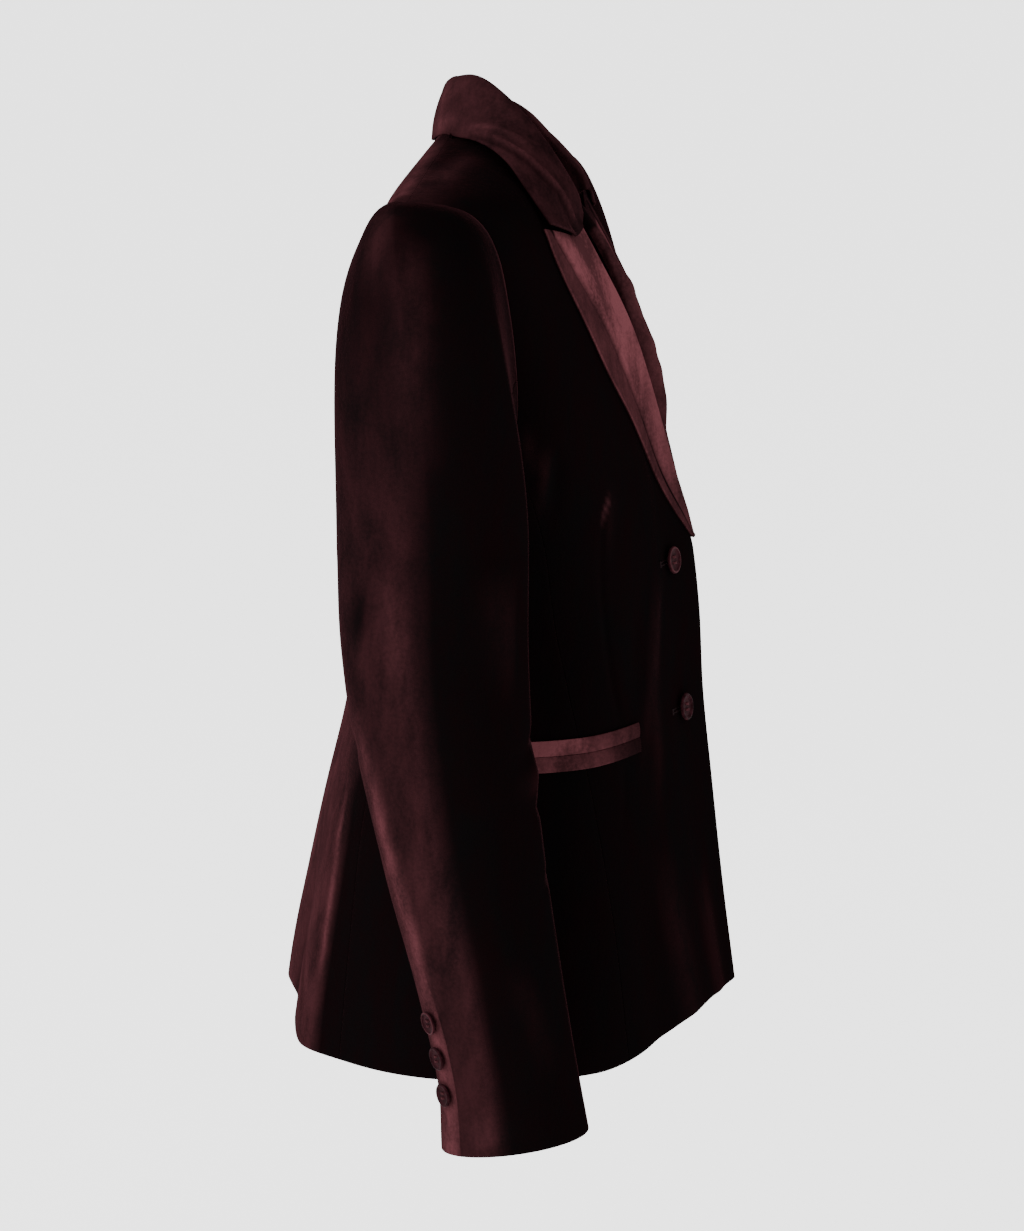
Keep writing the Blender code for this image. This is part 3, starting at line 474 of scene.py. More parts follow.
# On the body: angle from centre front in degrees, and level
BODY_FOLDS = {
    RIGHT: (
        Fold(0.0032, -0.0012, 0.2, 0.1,
             ((35, -0.218), (41, -0.248), (44, -0.285), (43, -0.330), (39, -0.372))),
        Fold(0.0060, 0.0011, 0.4, 0.5, ((31, -0.208), (37, -0.236), (42, -0.268))),
        Fold(0.0030, -0.0008, 0.1, 0.5, ((39, -0.391), (40, -0.412), (42, -0.440))),
        Fold(0.0080, 0.0016, 0.3, 0.4,
             ((12, -0.273), (20, -0.305), (23.5, -0.345), (25, -0.400), (31, -0.449))),
        Fold(0.0090, -0.0014, 0.4, 0.4, ((20, -0.272), (29, -0.305), (32, -0.340), (31, -0.366))),
        Fold(0.0070, 0.0022, 0.3, 0.5, ((58, -0.178), (61, -0.205), (66, -0.238))),
        Fold(0.0060, -0.0016, 0.3, 0.5, ((53, -0.182), (56, -0.208), (62, -0.246))),
        Fold(0.0150, 0.0020, 0.5, 0.0, ((27, -0.445), (24, -0.505), (21, -0.569))),
        Fold(0.0130, -0.0022, 0.5, 0.0, ((37, -0.455), (36, -0.515), (34, -0.569))),
        Fold(0.0110, 0.0018, 0.5, 0.0, ((7, -0.470), (6, -0.520), (5, -0.569))),
        Fold(0.0150, -0.0020, 0.5, 0.5, ((92, -0.270), (95, -0.312), (97, -0.365))),
        Fold(0.0140, 0.0026, 0.5, 0.0, ((82, -0.430), (80, -0.500), (79, -0.569))),
        Fold(0.0060, -0.0014, 0.4, 0.4, ((128, -0.284), (145, -0.292), (161, -0.288))),
        Fold(0.0050, -0.0010, 0.4, 0.4, ((142, -0.316), (156, -0.321), (171, -0.317))),
        Fold(0.0090, 0.0018, 0.4, 0.4, ((119, -0.246), (134, -0.220), (150, -0.206))),
        Fold(0.0110, -0.0026, 0.5, 0.0, ((152, -0.430), (153, -0.500), (154, -0.569))),
        Fold(0.0100, 0.0016, 0.4, 0.4, ((118, -0.130), (124, -0.172), (130, -0.216))),
    ),
    LEFT: (
        Fold(0.0032, -0.0012, 0.2, 0.1,
             ((35, -0.220), (41, -0.250), (44, -0.288), (43, -0.332), (39, -0.371))),
        Fold(0.0070, 0.0013, 0.4, 0.5, ((30, -0.214), (36, -0.240), (40, -0.262))),
        Fold(0.0030, -0.0008, 0.1, 0.5, ((39, -0.391), (40, -0.410), (41, -0.432))),
        Fold(0.0110, 0.0022, 0.3, 0.4, ((24, -0.290), (27, -0.325), (26, -0.365), (28, -0.418))),
        Fold(0.0080, -0.0014, 0.4, 0.4, ((30, -0.272), (34, -0.300), (34, -0.345))),
        Fold(0.0080, 0.0020, 0.3, 0.5, ((57, -0.182), (61, -0.212), (67, -0.252))),
        Fold(0.0060, -0.0015, 0.3, 0.5, ((52, -0.180), (55, -0.204), (60, -0.236))),
        Fold(0.0160, 0.0028, 0.5, 0.0, ((30, -0.455), (28, -0.510), (26, -0.569))),
        Fold(0.0120, -0.0020, 0.5, 0.0, ((41, -0.470), (40, -0.520), (39, -0.569))),
        Fold(0.0160, -0.0018, 0.5, 0.5, ((94, -0.262), (96, -0.300), (96, -0.350))),
        Fold(0.0150, 0.0024, 0.5, 0.0, ((86, -0.420), (85, -0.495), (83, -0.569))),
        Fold(0.0060, -0.0013, 0.4, 0.4, ((131, -0.280), (146, -0.286), (166, -0.290))),
        Fold(0.0050, -0.0011, 0.4, 0.4, ((136, -0.308), (150, -0.315), (163, -0.312))),
        Fold(0.0090, 0.0016, 0.4, 0.4, ((121, -0.238), (133, -0.214), (146, -0.196))),
        Fold(0.0120, -0.0024, 0.5, 0.0, ((151, -0.420), (153, -0.490), (155, -0.569))),
        Fold(0.0100, 0.0018, 0.4, 0.4, ((119, -0.122), (125, -0.160), (129, -0.200))),
    ),
}

# On the sleeves: turn in degrees, 0 outside, 90 front, 270 back, and place, 0 upper arm to 1 cuff
SLEEVE_FOLDS = {
    RIGHT: (
        Fold(0.0060, -0.0020, 0.3, 0.5, ((120, 0.300), (88, 0.335), (54, 0.345))),
        Fold(0.0070, 0.0018, 0.3, 0.5, ((116, 0.365), (86, 0.388), (52, 0.386))),
        Fold(0.0050, -0.0016, 0.3, 0.5, ((126, 0.420), (96, 0.432), (62, 0.418))),
        Fold(0.0050, -0.0011, 0.3, 0.5, ((112, 0.520), (86, 0.546), (62, 0.552))),
        Fold(0.0120, 0.0022, 0.4, 0.5, ((50, 0.000), (58, 0.120), (63, 0.270))),
        Fold(0.0100, -0.0018, 0.4, 0.5, ((74, 0.020), (77, 0.160), (79, 0.285))),
        Fold(0.0130, 0.0020, 0.4, 0.5, ((264, 0.160), (274, 0.320), (282, 0.490))),
        Fold(0.0100, -0.0016, 0.4, 0.5, ((300, 0.080), (313, 0.250), (319, 0.430))),
        Fold(0.0060, -0.0012, 0.4, 0.5, ((268, 0.300), (286, 0.330), (305, 0.338))),
        Fold(0.0080, 0.0012, 0.4, 0.5, ((30, 0.620), (42, 0.720), (47, 0.870))),
        Fold(0.0070, -0.0012, 0.4, 0.4, ((170, 0.280), (200, 0.330), (228, 0.350))),
        Fold(0.0060, -0.0013, 0.4, 0.4, ((165, 0.400), (190, 0.425), (214, 0.436))),
    ),
    LEFT: (
        Fold(0.0070, -0.0020, 0.3, 0.5, ((118, 0.280), (86, 0.312), (56, 0.318))),
        Fold(0.0060, 0.0016, 0.3, 0.5, ((118, 0.340), (90, 0.362), (58, 0.370))),
        Fold(0.0050, -0.0018, 0.3, 0.5, ((124, 0.402), (92, 0.418), (66, 0.404))),
        Fold(0.0060, -0.0012, 0.3, 0.5, ((114, 0.490), (90, 0.512), (58, 0.514))),
        Fold(0.0130, 0.0020, 0.4, 0.5, ((46, 0.010), (56, 0.140), (60, 0.300))),
        Fold(0.0090, -0.0018, 0.4, 0.5, ((70, 0.000), (74, 0.130), (78, 0.250))),
        Fold(0.0120, 0.0022, 0.4, 0.5, ((266, 0.180), (276, 0.350), (282, 0.520))),
        Fold(0.0110, -0.0015, 0.4, 0.5, ((304, 0.120), (314, 0.280), (320, 0.460))),
        Fold(0.0050, -0.0013, 0.4, 0.5, ((270, 0.350), (290, 0.372), (312, 0.368))),
        Fold(0.0090, 0.0012, 0.4, 0.5, ((26, 0.590), (36, 0.700), (44, 0.840))),
        Fold(0.0070, -0.0012, 0.4, 0.4, ((168, 0.300), (196, 0.342), (226, 0.356))),
    ),
}

# Painted highlights, and painted shade where below 0, laid as the creases are, with a share of painted
# light for a height
BODY_PAINTED_LIGHT = {
    RIGHT: (
        Fold(0.0017, 0.30, 0.3, 0.6, ((33.5, -0.218), (37.8, -0.230), (41.2, -0.243))),
        Fold(0.0045, 0.030, 0.3, 0.5,
             ((8, -0.275), (16.8, -0.304), (22, -0.335), (29.8, -0.383), (34.8, -0.429))),
        Fold(0.0050, 0.05, 0.4, 0.4, ((65, -0.162), (64, -0.182), (63, -0.206))),
        Fold(0.0030, 0.42, 0.4, 0.3,
             ((136, -0.376), (135, -0.416), (134, -0.456), (133.6, -0.492), (133, -0.530))),
        Fold(0.0150, -0.30, 0.3, 0.0, ((128, -0.360), (126.5, -0.416), (125, -0.470), (124, -0.569))),
        Fold(0.0060, -0.16, 0.4, 0.2, ((153, -0.490), (146, -0.520), (139, -0.560))),
        Fold(0.0070, 0.34, 0.2, 0.2, ((168, 0.0095), (140, 0.0095), (114, 0.0095))),
        Fold(0.0200, 0.13, 0.2, 0.2, ((150, 0.0115), (112, 0.0115), (84, 0.0115))),
        Fold(0.0080, 0.14, 0.4, 0.4, ((20, 0.0090), (34, 0.0105), (52, 0.0112))),
        Fold(0.0160, 0.16, 0.5, 0.5, ((164, -0.400), (160, -0.450), (157, -0.520))),
    ),
    LEFT: (
        Fold(0.0017, 0.26, 0.3, 0.6, ((33, -0.220), (37, -0.232), (41, -0.247))),
        Fold(0.0070, 0.035, 0.3, 0.5, ((24, -0.290), (27, -0.325), (26, -0.365), (28, -0.418))),
        Fold(0.0050, 0.05, 0.4, 0.4, ((64, -0.164), (62, -0.190), (60, -0.214))),
        Fold(0.0034, 0.36, 0.4, 0.3, ((137, -0.382), (136, -0.424), (134, -0.470), (133, -0.524))),
        Fold(0.0150, -0.28, 0.3, 0.0, ((128, -0.366), (126.5, -0.424), (125, -0.480), (124, -0.569))),
        Fold(0.0070, -0.14, 0.4, 0.2, ((155, -0.486), (147, -0.520), (141, -0.560))),
        Fold(0.0070, 0.34, 0.2, 0.2, ((168, 0.0095), (140, 0.0095), (114, 0.0095))),
        Fold(0.0200, 0.13, 0.2, 0.2, ((150, 0.0115), (112, 0.0115), (84, 0.0115))),
        Fold(0.0090, 0.12, 0.4, 0.4, ((24, 0.0095), (36, 0.0105), (50, 0.0112))),
        Fold(0.0180, 0.14, 0.5, 0.5, ((166, -0.390), (161, -0.460), (159, -0.530))),
    ),
}
SLEEVE_PAINTED_LIGHT = {
    RIGHT: (
        Fold(0.0075, 0.55, 0.5, 0.4,
             ((296, 0.200), (302, 0.350), (309, 0.489), (313, 0.620), (314, 0.740))),
        Fold(0.0080, -0.12, 0.5, 0.5, ((322, 0.020), (318, 0.100), (312, 0.160))),
        Fold(0.0090, 0.14, 0.5, 0.5, ((340, 0.000), (344, 0.120), (350, 0.300))),
        Fold(0.0100, 0.08, 0.5, 0.5, ((330, 0.380), (338, 0.480), (350, 0.620), (356, 0.760))),
        Fold(0.0110, 0.09, 0.5, 0.2, ((336, 0.880), (344, 0.930), (350, 0.985))),
    ),
    LEFT: (
        Fold(0.0080, 0.50, 0.5, 0.4,
             ((297, 0.230), (303, 0.370), (309, 0.500), (313, 0.640), (314, 0.760))),
        Fold(0.0090, -0.12, 0.5, 0.5, ((326, 0.040), (320, 0.120), (316, 0.200))),
        Fold(0.0100, 0.08, 0.5, 0.5, ((338, 0.060), (344, 0.200), (352, 0.340))),
        Fold(0.0090, 0.08, 0.5, 0.5, ((326, 0.420), (336, 0.540), (348, 0.700))),
    ),
}

# On the sleeve heads: share along the sleeve from the armhole, and round it
CAP_PAINTED_LIGHT = {
    RIGHT: (
        Fold(0.0110, 0.12, 0.3, 0.4, ((0.060, 0.082), (0.109, 0.044), (0.151, 0.010), (0.240, 0.000))),
        Fold(0.0120, 0.13, 0.3, 0.5, ((0.030, 0.930), (0.070, 0.925), (0.120, 0.918))),
    ),
    LEFT: (
        Fold(0.0120, 0.10, 0.3, 0.4, ((0.070, 0.070), (0.120, 0.036), (0.165, 0.006), (0.235, 0.000))),
        Fold(0.0110, 0.12, 0.3, 0.5, ((0.040, 0.926), (0.080, 0.930), (0.140, 0.920))),
    ),
}

# Painted highlight on the under sleeves alone, up to the hindarm seam
UNDER_PAINTED_HIGHLIGHT = {
    RIGHT: (
        Fold(0.0110, 0.55, 0.4, 0.0, ((304, 0.560), (311, 0.700), (311, 0.840), (308, 1.0))),
    ),
    LEFT: (
        Fold(0.0100, 0.50, 0.4, 0.0, ((303, 0.580), (311, 0.720), (310, 0.860), (308, 1.0))),
    ),
}

# On the collar: share along it from the right gorge to the left, and across it from the neck seam
# to the edge of the fall
COLLAR_FOLDS = (
    Fold(0.0036, 0.0018, 0.3, 0.6, ((0.285, 0.93), (0.235, 0.84), (0.180, 0.74), (0.125, 0.62))),
    Fold(0.0022, 0.0016, 0.2, 0.0,
             ((0.270, 0.97), (0.195, 0.89), (0.115, 0.77), (0.055, 0.67), (0.000, 0.58))),
    Fold(0.0022, -0.0010, 0.2, 0.0,
             ((0.262, 0.99), (0.195, 0.93), (0.115, 0.82), (0.055, 0.72), (0.000, 0.64))),
    Fold(0.0060, -0.0010, 0.5, 0.5, ((0.360, 0.58), (0.330, 0.70), (0.300, 0.82))),
    Fold(0.0050, 0.0012, 0.5, 0.5, ((0.420, 0.56), (0.390, 0.68), (0.350, 0.86))),
    Fold(0.0036, 0.0016, 0.5, 0.3, ((0.865, 0.60), (0.820, 0.74), (0.760, 0.86), (0.725, 0.92))),
    Fold(0.0024, 0.0014, 0.0, 0.2,
             ((1.000, 0.60), (0.945, 0.68), (0.880, 0.78), (0.800, 0.90), (0.735, 0.97))),
    Fold(0.0060, 0.0010, 0.5, 0.5, ((0.610, 0.58), (0.640, 0.72), (0.680, 0.86))),
)

# Painted highlights and shade on the collar
COLLAR_PAINTED_LIGHT = (
    Fold(0.0018, 0.16, 0.3, 0.5, ((0.285, 0.93), (0.235, 0.84), (0.180, 0.74), (0.125, 0.62))),
    Fold(0.0018, 0.16, 0.2, 0.2,
             ((0.270, 0.97), (0.195, 0.89), (0.115, 0.77), (0.055, 0.67), (0.000, 0.58))),
    Fold(0.0024, -0.12, 0.2, 0.1,
             ((0.262, 0.99), (0.195, 0.93), (0.115, 0.82), (0.055, 0.72), (0.000, 0.64))),
    Fold(0.0050, 0.14, 0.2, 0.5, ((0.500, 0.93), (0.420, 0.92), (0.340, 0.90), (0.270, 0.86))),
    Fold(0.0080, 0.10, 0.5, 0.5, ((0.440, 0.55), (0.400, 0.62), (0.350, 0.72))),
    Fold(0.0060, 0.08, 0.5, 0.5, ((0.300, 0.52), (0.240, 0.58), (0.180, 0.56))),
    Fold(0.0018, 0.14, 0.3, 0.5, ((0.865, 0.60), (0.820, 0.74), (0.760, 0.86), (0.725, 0.92))),
    Fold(0.0050, 0.12, 0.5, 0.2, ((0.740, 0.88), (0.660, 0.91), (0.580, 0.92), (0.500, 0.93))),
)

# On the lapels: share up the roll line, and across from it to the outer edge
LAPEL_FOLDS = {
    RIGHT: (
        Fold(0.0022, -0.0022, 0.2, 0.1,
             ((0.060, 0.56), (0.300, 0.60), (0.600, 0.68), (0.850, 0.80), (0.985, 0.88))),
        Fold(0.0050, 0.0012, 0.4, 0.4, ((0.120, 0.36), (0.380, 0.40), (0.640, 0.48), (0.860, 0.60))),
        Fold(0.0060, -0.0010, 0.5, 0.5, ((0.930, 0.34), (0.840, 0.44), (0.740, 0.46))),
    ),
    LEFT: (
        Fold(0.0070, 0.0014, 0.3, 0.5, ((0.580, 0.12), (0.535, 0.42), (0.500, 0.78))),
        Fold(0.0090, -0.0012, 0.3, 0.4, ((0.490, 0.16), (0.450, 0.40), (0.420, 0.66))),
        Fold(0.0070, 0.0012, 0.4, 0.5, ((0.370, 0.10), (0.345, 0.36), (0.335, 0.60))),
        Fold(0.0060, 0.0008, 0.4, 0.5, ((0.290, 0.10), (0.270, 0.30), (0.262, 0.50))),
        Fold(0.0026, -0.0014, 0.2, 0.1, ((0.020, 0.56), (0.300, 0.64), (0.650, 0.74), (0.985, 0.88))),
    ),
}


def slopes(knots, values, flat_end):
    """Tangents of a smooth curve through the rows of a table."""
    steps = np.diff(values) / np.diff(knots)
    middle = (steps[:-1] + steps[1:]) / 2
    last = 0.0 if flat_end else steps[-1]
    return np.concatenate([[steps[0]], middle, [last]])


def curve(at, knots, values, flat_end=False):
    """Smooth curve through the rows of a table, read at any place along them."""
    at = np.clip(at, knots[0], knots[-1])
    tangent = slopes(knots, values, flat_end)
    i = np.clip(np.searchsorted(knots, at, side="right") - 1, 0, len(knots) - 2)
    span = knots[i + 1] - knots[i]
    f = (at - knots[i]) / span
    start = values[i] * (1 + 2 * f) * (1 - f) ** 2 + tangent[i] * span * f * (1 - f) ** 2
    end = values[i + 1] * f * f * (3 - 2 * f) + tangent[i + 1] * span * f * f * (f - 1)
    return start + end


def column(rows, name):
    """One named column of a table."""
    return np.array([getattr(row, name) for row in rows])


def profile_knots():
    """Place of each section along the front profile, 0 at the hem and 1 at the shoulder."""
    path = np.stack([column(SECTIONS, "front"), column(SECTIONS, "z_front")], -1)
    lengths = np.linalg.norm(np.diff(path, axis=0), axis=1)
    along = np.concatenate([[0.0], np.cumsum(lengths)])
    return along / along[-1]


KNOTS = profile_knots()


def section(t, name):
    """A column of the section table at place t of the front profile."""
    return curve(t, KNOTS, column(SECTIONS, name), name in FLAT_ON_TOP)


def level(z):
    """Place along the front profile where the centre-front height is z."""
    fine = np.linspace(0.0, 1.0, LEVEL_STEPS)
    return np.interp(z, section(fine, "z_front"), fine)


def smooth(f):
    """Step from 0 to 1 with soft ends."""
    f = np.clip(f, 0.0, 1.0)
    return f * f * (3 - 2 * f)


def powered(v, power):
    """Signed power, for squared rings."""
    return np.sign(v) * np.abs(v) ** power


def angle_at(x, t):
    """Angle round the body, from centre front, at distance x from the centre."""
    ratio = np.clip(x / section(t, "half_width"), -1.0, 1.0)
    return np.arcsin(powered(ratio, 1 / section(t, "square")))


def flare(phi, t):
    """Outward height of the flare ridges in the back of the skirt."""
    height = np.zeros(np.broadcast(phi, t).shape)
    for ridge in FLARE:
        bell = np.exp(-((phi - math.radians(ridge.angle)) / math.radians(ridge.spread)) ** 2)
        fade = smooth(1 - t / level(ridge.dies_at))
        height = height + ridge.height * bell * fade
    return height


def left_back(phi, t):
    """How far the left half lies back of the right at angle phi and place t."""
    return section(t, "left_back") * np.clip(np.cos(phi), 0.0, 1.0)


def form(side, phi, t):
    """Outer face of the body at angle phi from centre front and place t of the profile."""
    phi, t = np.broadcast_arrays(np.asarray(phi, float), np.asarray(t, float))
    square = section(t, "square")
    middle = section(t, "side")
    swell = 1 + flare(phi, t) / section(t, "half_width")
    x = section(t, "half_width") * powered(np.sin(phi), square) * swell
    reach = np.where(np.cos(phi) > 0, middle - section(t, "front"), section(t, "back") - middle)
    reach = reach * (1 + section(t, "pad") * np.sin(phi) ** 2)
    y = middle - reach * powered(np.cos(phi), square) * swell
    ahead = np.sqrt((side * x - LAP[RIGHT]) ** 2 + PROW_ROUND ** 2)
    prow = section(t, "prow") * np.clip(1 - ahead / PROW_REACH, 0.0, 1.0) ** 2
    y = y - prow * (np.cos(phi) > 0)
    if side == LEFT:
        y = y + left_back(phi, t)
    z_front = section(t, "z_front")
    z = z_front + (section(t, "z_back") - z_front) * smooth((phi - HEM_FALL[0]) / HEM_FALL[1])
    z = z + CENTRE_LIFT * smooth((phi - LIFT_FROM) / LIFT_OVER) * smooth(1 - t / level(LIFT_DIES_AT))
    z = z - section(t, "slope") * (np.sqrt(x * x + SLOPE_ROUND ** 2) - SLOPE_ROUND)
    return np.stack([side * x, y, z], -1)


def armhole_reach(t):
    """Share of the armhole's width at place t, 0 at its bottom and top."""
    bottom = level(ARMHOLE_BOTTOM)
    f = np.clip((t - bottom) / (1 - bottom), 0.0, 1.0)
    return (2 * np.sqrt(f * (1 - f))) ** ARMHOLE_ROUND


def armhole_depth(share):
    """Place along the profile of the armhole's lower edge, for a share of its width."""
    bottom = level(ARMHOLE_BOTTOM)
    f = (1 - np.sqrt(1 - np.clip(share, 0.0, 1.0) ** (2 / ARMHOLE_ROUND))) / 2
    return bottom + (1 - bottom) * f


def front_seam(t):
    """Angle of the front's side edge: the side seam, then the armhole."""
    top = level(SIDE_TOP)
    armhole = 90.0 - ARMHOLE_FRONT * armhole_reach(np.maximum(t, top))
    meet = 90.0 - ARMHOLE_FRONT * armhole_reach(top)
    knots = np.append(level(column(SEAMS, "z")), top)
    seam = curve(t, knots, np.append(column(SEAMS, "front"), meet))
    return np.radians(np.where(t > top, armhole, seam))


def back_seam(t):
    """Angle of the back's side edge: the side seam, then the armhole."""
    top = level(SIDE_TOP)
    armhole = 90.0 + ARMHOLE_BACK * armhole_reach(np.maximum(t, top))
    meet = 90.0 + ARMHOLE_BACK * armhole_reach(top)
    knots = np.append(level(column(SEAMS, "z")), top)
    seam = curve(t, knots, np.append(column(SEAMS, "back"), meet))
    return np.radians(np.where(t > top, armhole, seam))


def closing_x(side, t):
    """Distance of the front's closing edge from the centre: straight, then the roll line."""
    knots = np.append(level(BREAK), level(column(ROLL_LINE, "z")))
    return curve(t, knots, np.append(-LAP[side], column(ROLL_LINE, "x")))


def front_patch(side):
    """Front: s from the closing edge to the side, t from the hem to the shoulder seam."""
    def patch(s, t):
        edge = angle_at(closing_x(side, t), t)
        phi = edge + (front_seam(t) - edge) * s
        points = form(side, phi, t)
        if side == LEFT:
            points[..., 1] += TUCK * smooth((TUCK_FROM - points[..., 0]) / TUCK_OVER)
        return points
    return patch


def side_patch(side):
    """Side panel: s from its front seam to its back seam, r from the hem to the armhole."""
    def patch(s, r):
        top = level(SIDE_TOP)
        first, last = front_seam(top), back_seam(top)
        turn = np.degrees(first + (last - first) * s) - 90.0
        widest = np.where(turn < 0, ARMHOLE_FRONT, ARMHOLE_BACK)
        t = r * armhole_depth(np.abs(turn) / widest)
        front, back = front_seam(r * top), back_seam(r * top)
        return form(side, front + (back - front) * s, t)
    return patch


def neckline(phi):
    """Place along the profile of the back's top edge, at angle phi."""
    rise = smooth((math.pi - phi) / angle_at(NECK_HALF, 1.0))
    return 1 - (1 - level(NAPE_LEVEL)) * (1 - rise)


def back_patch(side):
    """Back: s from the centre-back seam to the side, r from the hem to neck and shoulder."""
    def patch(s, r):
        cut = smooth((r - level(SIDE_TOP)) / (1 - level(SIDE_TOP)))
        t = r * (1 - cut * (1 - neckline(math.pi - math.pi / 2 * s)))
        phi = math.pi + (back_seam(r) - math.pi) * s
        return form(side, phi, t)
    return patch


def normals(patch, s, t):
    """Outward direction of a patch, from small steps along it."""
    ds = patch(np.clip(s + SMALL_STEP, 0, 1), t) - patch(np.clip(s - SMALL_STEP, 0, 1), t)
    dt = patch(s, np.clip(t + SMALL_STEP, 0, 1)) - patch(s, np.clip(t - SMALL_STEP, 0, 1))
    n = np.cross(ds, dt)
    return n / np.linalg.norm(n, axis=-1, keepdims=True)


def outward(n, points):
    """Turns directions so that they point away from the body's axis."""
    return n * np.sign(np.sum(n * (points - np.array(BODY_MIDDLE)), -1).mean())


def finer(places, parts):
    """More places between those of a list, each gap cut into equal parts."""
    at = np.linspace(0.0, len(places) - 1.0, (len(places) - 1) * parts + 1)
    return np.interp(at, np.arange(len(places)), places)


def flowing(grid, parts):
    """A grid with more columns, on smooth curves through its own."""
    steps = np.linalg.norm(np.diff(grid, axis=1), axis=-1).mean(axis=0)
    knots = np.concatenate([[0.0], np.cumsum(steps)])
    tangent = np.gradient(grid, knots, axis=1)
    at = finer(knots, parts)
    i = np.clip(np.searchsorted(knots, at, side="right") - 1, 0, len(knots) - 2)
    span = (knots[i + 1] - knots[i])[:, None]
    f = ((at - knots[i]) / (knots[i + 1] - knots[i]))[:, None]
    start = grid[:, i] * (1 + 2 * f) * (1 - f) ** 2 + tangent[:, i] * span * f * (1 - f) ** 2
    end = grid[:, i + 1] * f * f * (3 - 2 * f) + tangent[:, i + 1] * span * f * f * (f - 1)
    return start + end


def unit(v):
    """Directions of unit length."""
    return v / np.linalg.norm(v, axis=-1, keepdims=True)


def grid_normals(grid):
    """Directions across a grid of points."""
    return unit(np.cross(np.gradient(grid, axis=1), np.gradient(grid, axis=0)))


def body_rows():
    """Places of the body's rows: hem to side-panel top, then to the shoulder."""
    top = level(SIDE_TOP)
    lower = np.linspace(0.0, top, LOWER_ROWS)
    upper = top + (1 - top) * np.sin(np.linspace(0.0, math.pi / 2, UPPER_ROWS + 1))[1:]
    return np.concatenate([lower, upper])


def armhole_loop(side, parts):
    """Points and turn angles round the armhole: over the top, front, underarm and back."""
    rows = finer(body_rows()[LOWER_ROWS - 1:], parts)
    front = front_patch(side)(1.0, rows[::-1])
    columns = finer(np.linspace(0, 1, SIDE_COLUMNS + 1), parts)[1:-1]
    under = side_patch(side)(columns, 1.0)
    back = back_patch(side)(1.0, rows[:-1])
    bottom = level(ARMHOLE_BOTTOM)
    climb = np.degrees(np.arccos(2 * (rows - bottom) / (1 - bottom) - 1))
    low = climb[0] + (360.0 - 2 * climb[0]) * columns
    turns = np.concatenate([climb[::-1], low, 360.0 - climb[:-1]])
    return np.concatenate([front, under, back]), turns


def ring_points(side, place, turn):
    """Points of the sleeve's rings, 0 at the upper arm and 1 at the cuff."""
    knots = np.linspace(0.0, 1.0, len(SLEEVE))
    ring = Ring(*(curve(place, knots, column(SLEEVE, name)) for name in Ring._fields))
    turn = np.radians(turn)
    width = np.where(np.cos(turn) > 0, ring.outer, ring.inner)
    forward = ring.depth * np.sin(turn)
    x = side * (ring.x + width * np.cos(turn))
    return np.stack([x, ring.y - forward, ring.z + ring.rise * forward], -1)


def sleeve_grid(side):
    """Outer face of a whole sleeve, armhole to cuff, and the columns of its two seams."""
    turns = armhole_loop(side, 1)[1]
    forearm = ARM_PARTS * int(np.argmin(abs(turns - FOREARM_SEAM)))
    hindarm = ARM_PARTS * int(np.argmin(abs(turns - HINDARM_AT_ARMHOLE)))
    start, turns = armhole_loop(side, ARM_PARTS)
    count = len(turns)
    marks = (0, forearm, hindarm, count)
    cuff_turns = np.interp(np.arange(count), marks, (0.0, FOREARM_SEAM, HINDARM_SEAM, 360.0))
    place = np.linspace(0.0, 1.0, ARM_ROWS + 1)[:, None]
    arm = ring_points(side, place, turns + (cuff_turns - turns) * smooth(place * TWIST))
    reach = np.linalg.norm(arm[0] - start, axis=-1, keepdims=True)
    lift = CAP_LIFT * np.clip(np.cos(np.radians(turns)), 0.0, 1.0)
    back = CAP_BACK * np.clip(-np.sin(np.radians(turns)), 0.0, 1.0)
    out = np.stack([np.full(count, float(side)), back, lift], -1)
    leave = start + out * reach * CAP_OUT
    arrive = arm[0] + np.array([0.0, 0.0, 1.0]) * reach * CAP_DOWN
    f = np.linspace(0.0, 1.0, CAP_ROWS + 1)[:-1, None, None]
    cap = (1 - f) ** 3 * start + 3 * f * (1 - f) ** 2 * leave
    cap = cap + 3 * f * f * (1 - f) * arrive + f ** 3 * arm[0]
    return np.concatenate([cap, arm]), forearm, hindarm


def ring_normals(grid):
    """Outward directions of a grid of closed rings."""
    round_step = np.roll(grid, -1, axis=1) - np.roll(grid, 1, axis=1)
    n = unit(np.cross(round_step, np.gradient(grid, axis=0)))
    away = grid - grid.mean(axis=1, keepdims=True)
    return n * np.sign(np.sum(n * away, -1).mean())


def square_to(v, line):
    """Directions turned square to a line."""
    line = unit(line)
    return unit(v - line * np.sum(v * line, -1, keepdims=True))


def form_normals(side, phi, t):
    """Outward directions of the body's outer face."""
    across = form(side, phi + SMALL_STEP, t) - form(side, phi - SMALL_STEP, t)
    along = form(side, phi, t + SMALL_STEP) - form(side, phi, t - SMALL_STEP)
    return outward(unit(np.cross(across, along)), form(side, phi, t))


def roll_base(side, t):
    """The front's roll edge at place t: point, outward direction, and direction off the edge."""
    patch = front_patch(side)
    edge = patch(0.0, t)
    n = outward(normals(patch, np.zeros_like(t), t), edge)
    line = patch(0.0, np.clip(t + SMALL_STEP, 0, 1)) - patch(0.0, np.clip(t - SMALL_STEP, 0, 1))
    return edge, n, square_to(edge - patch(SMALL_STEP, t), line)


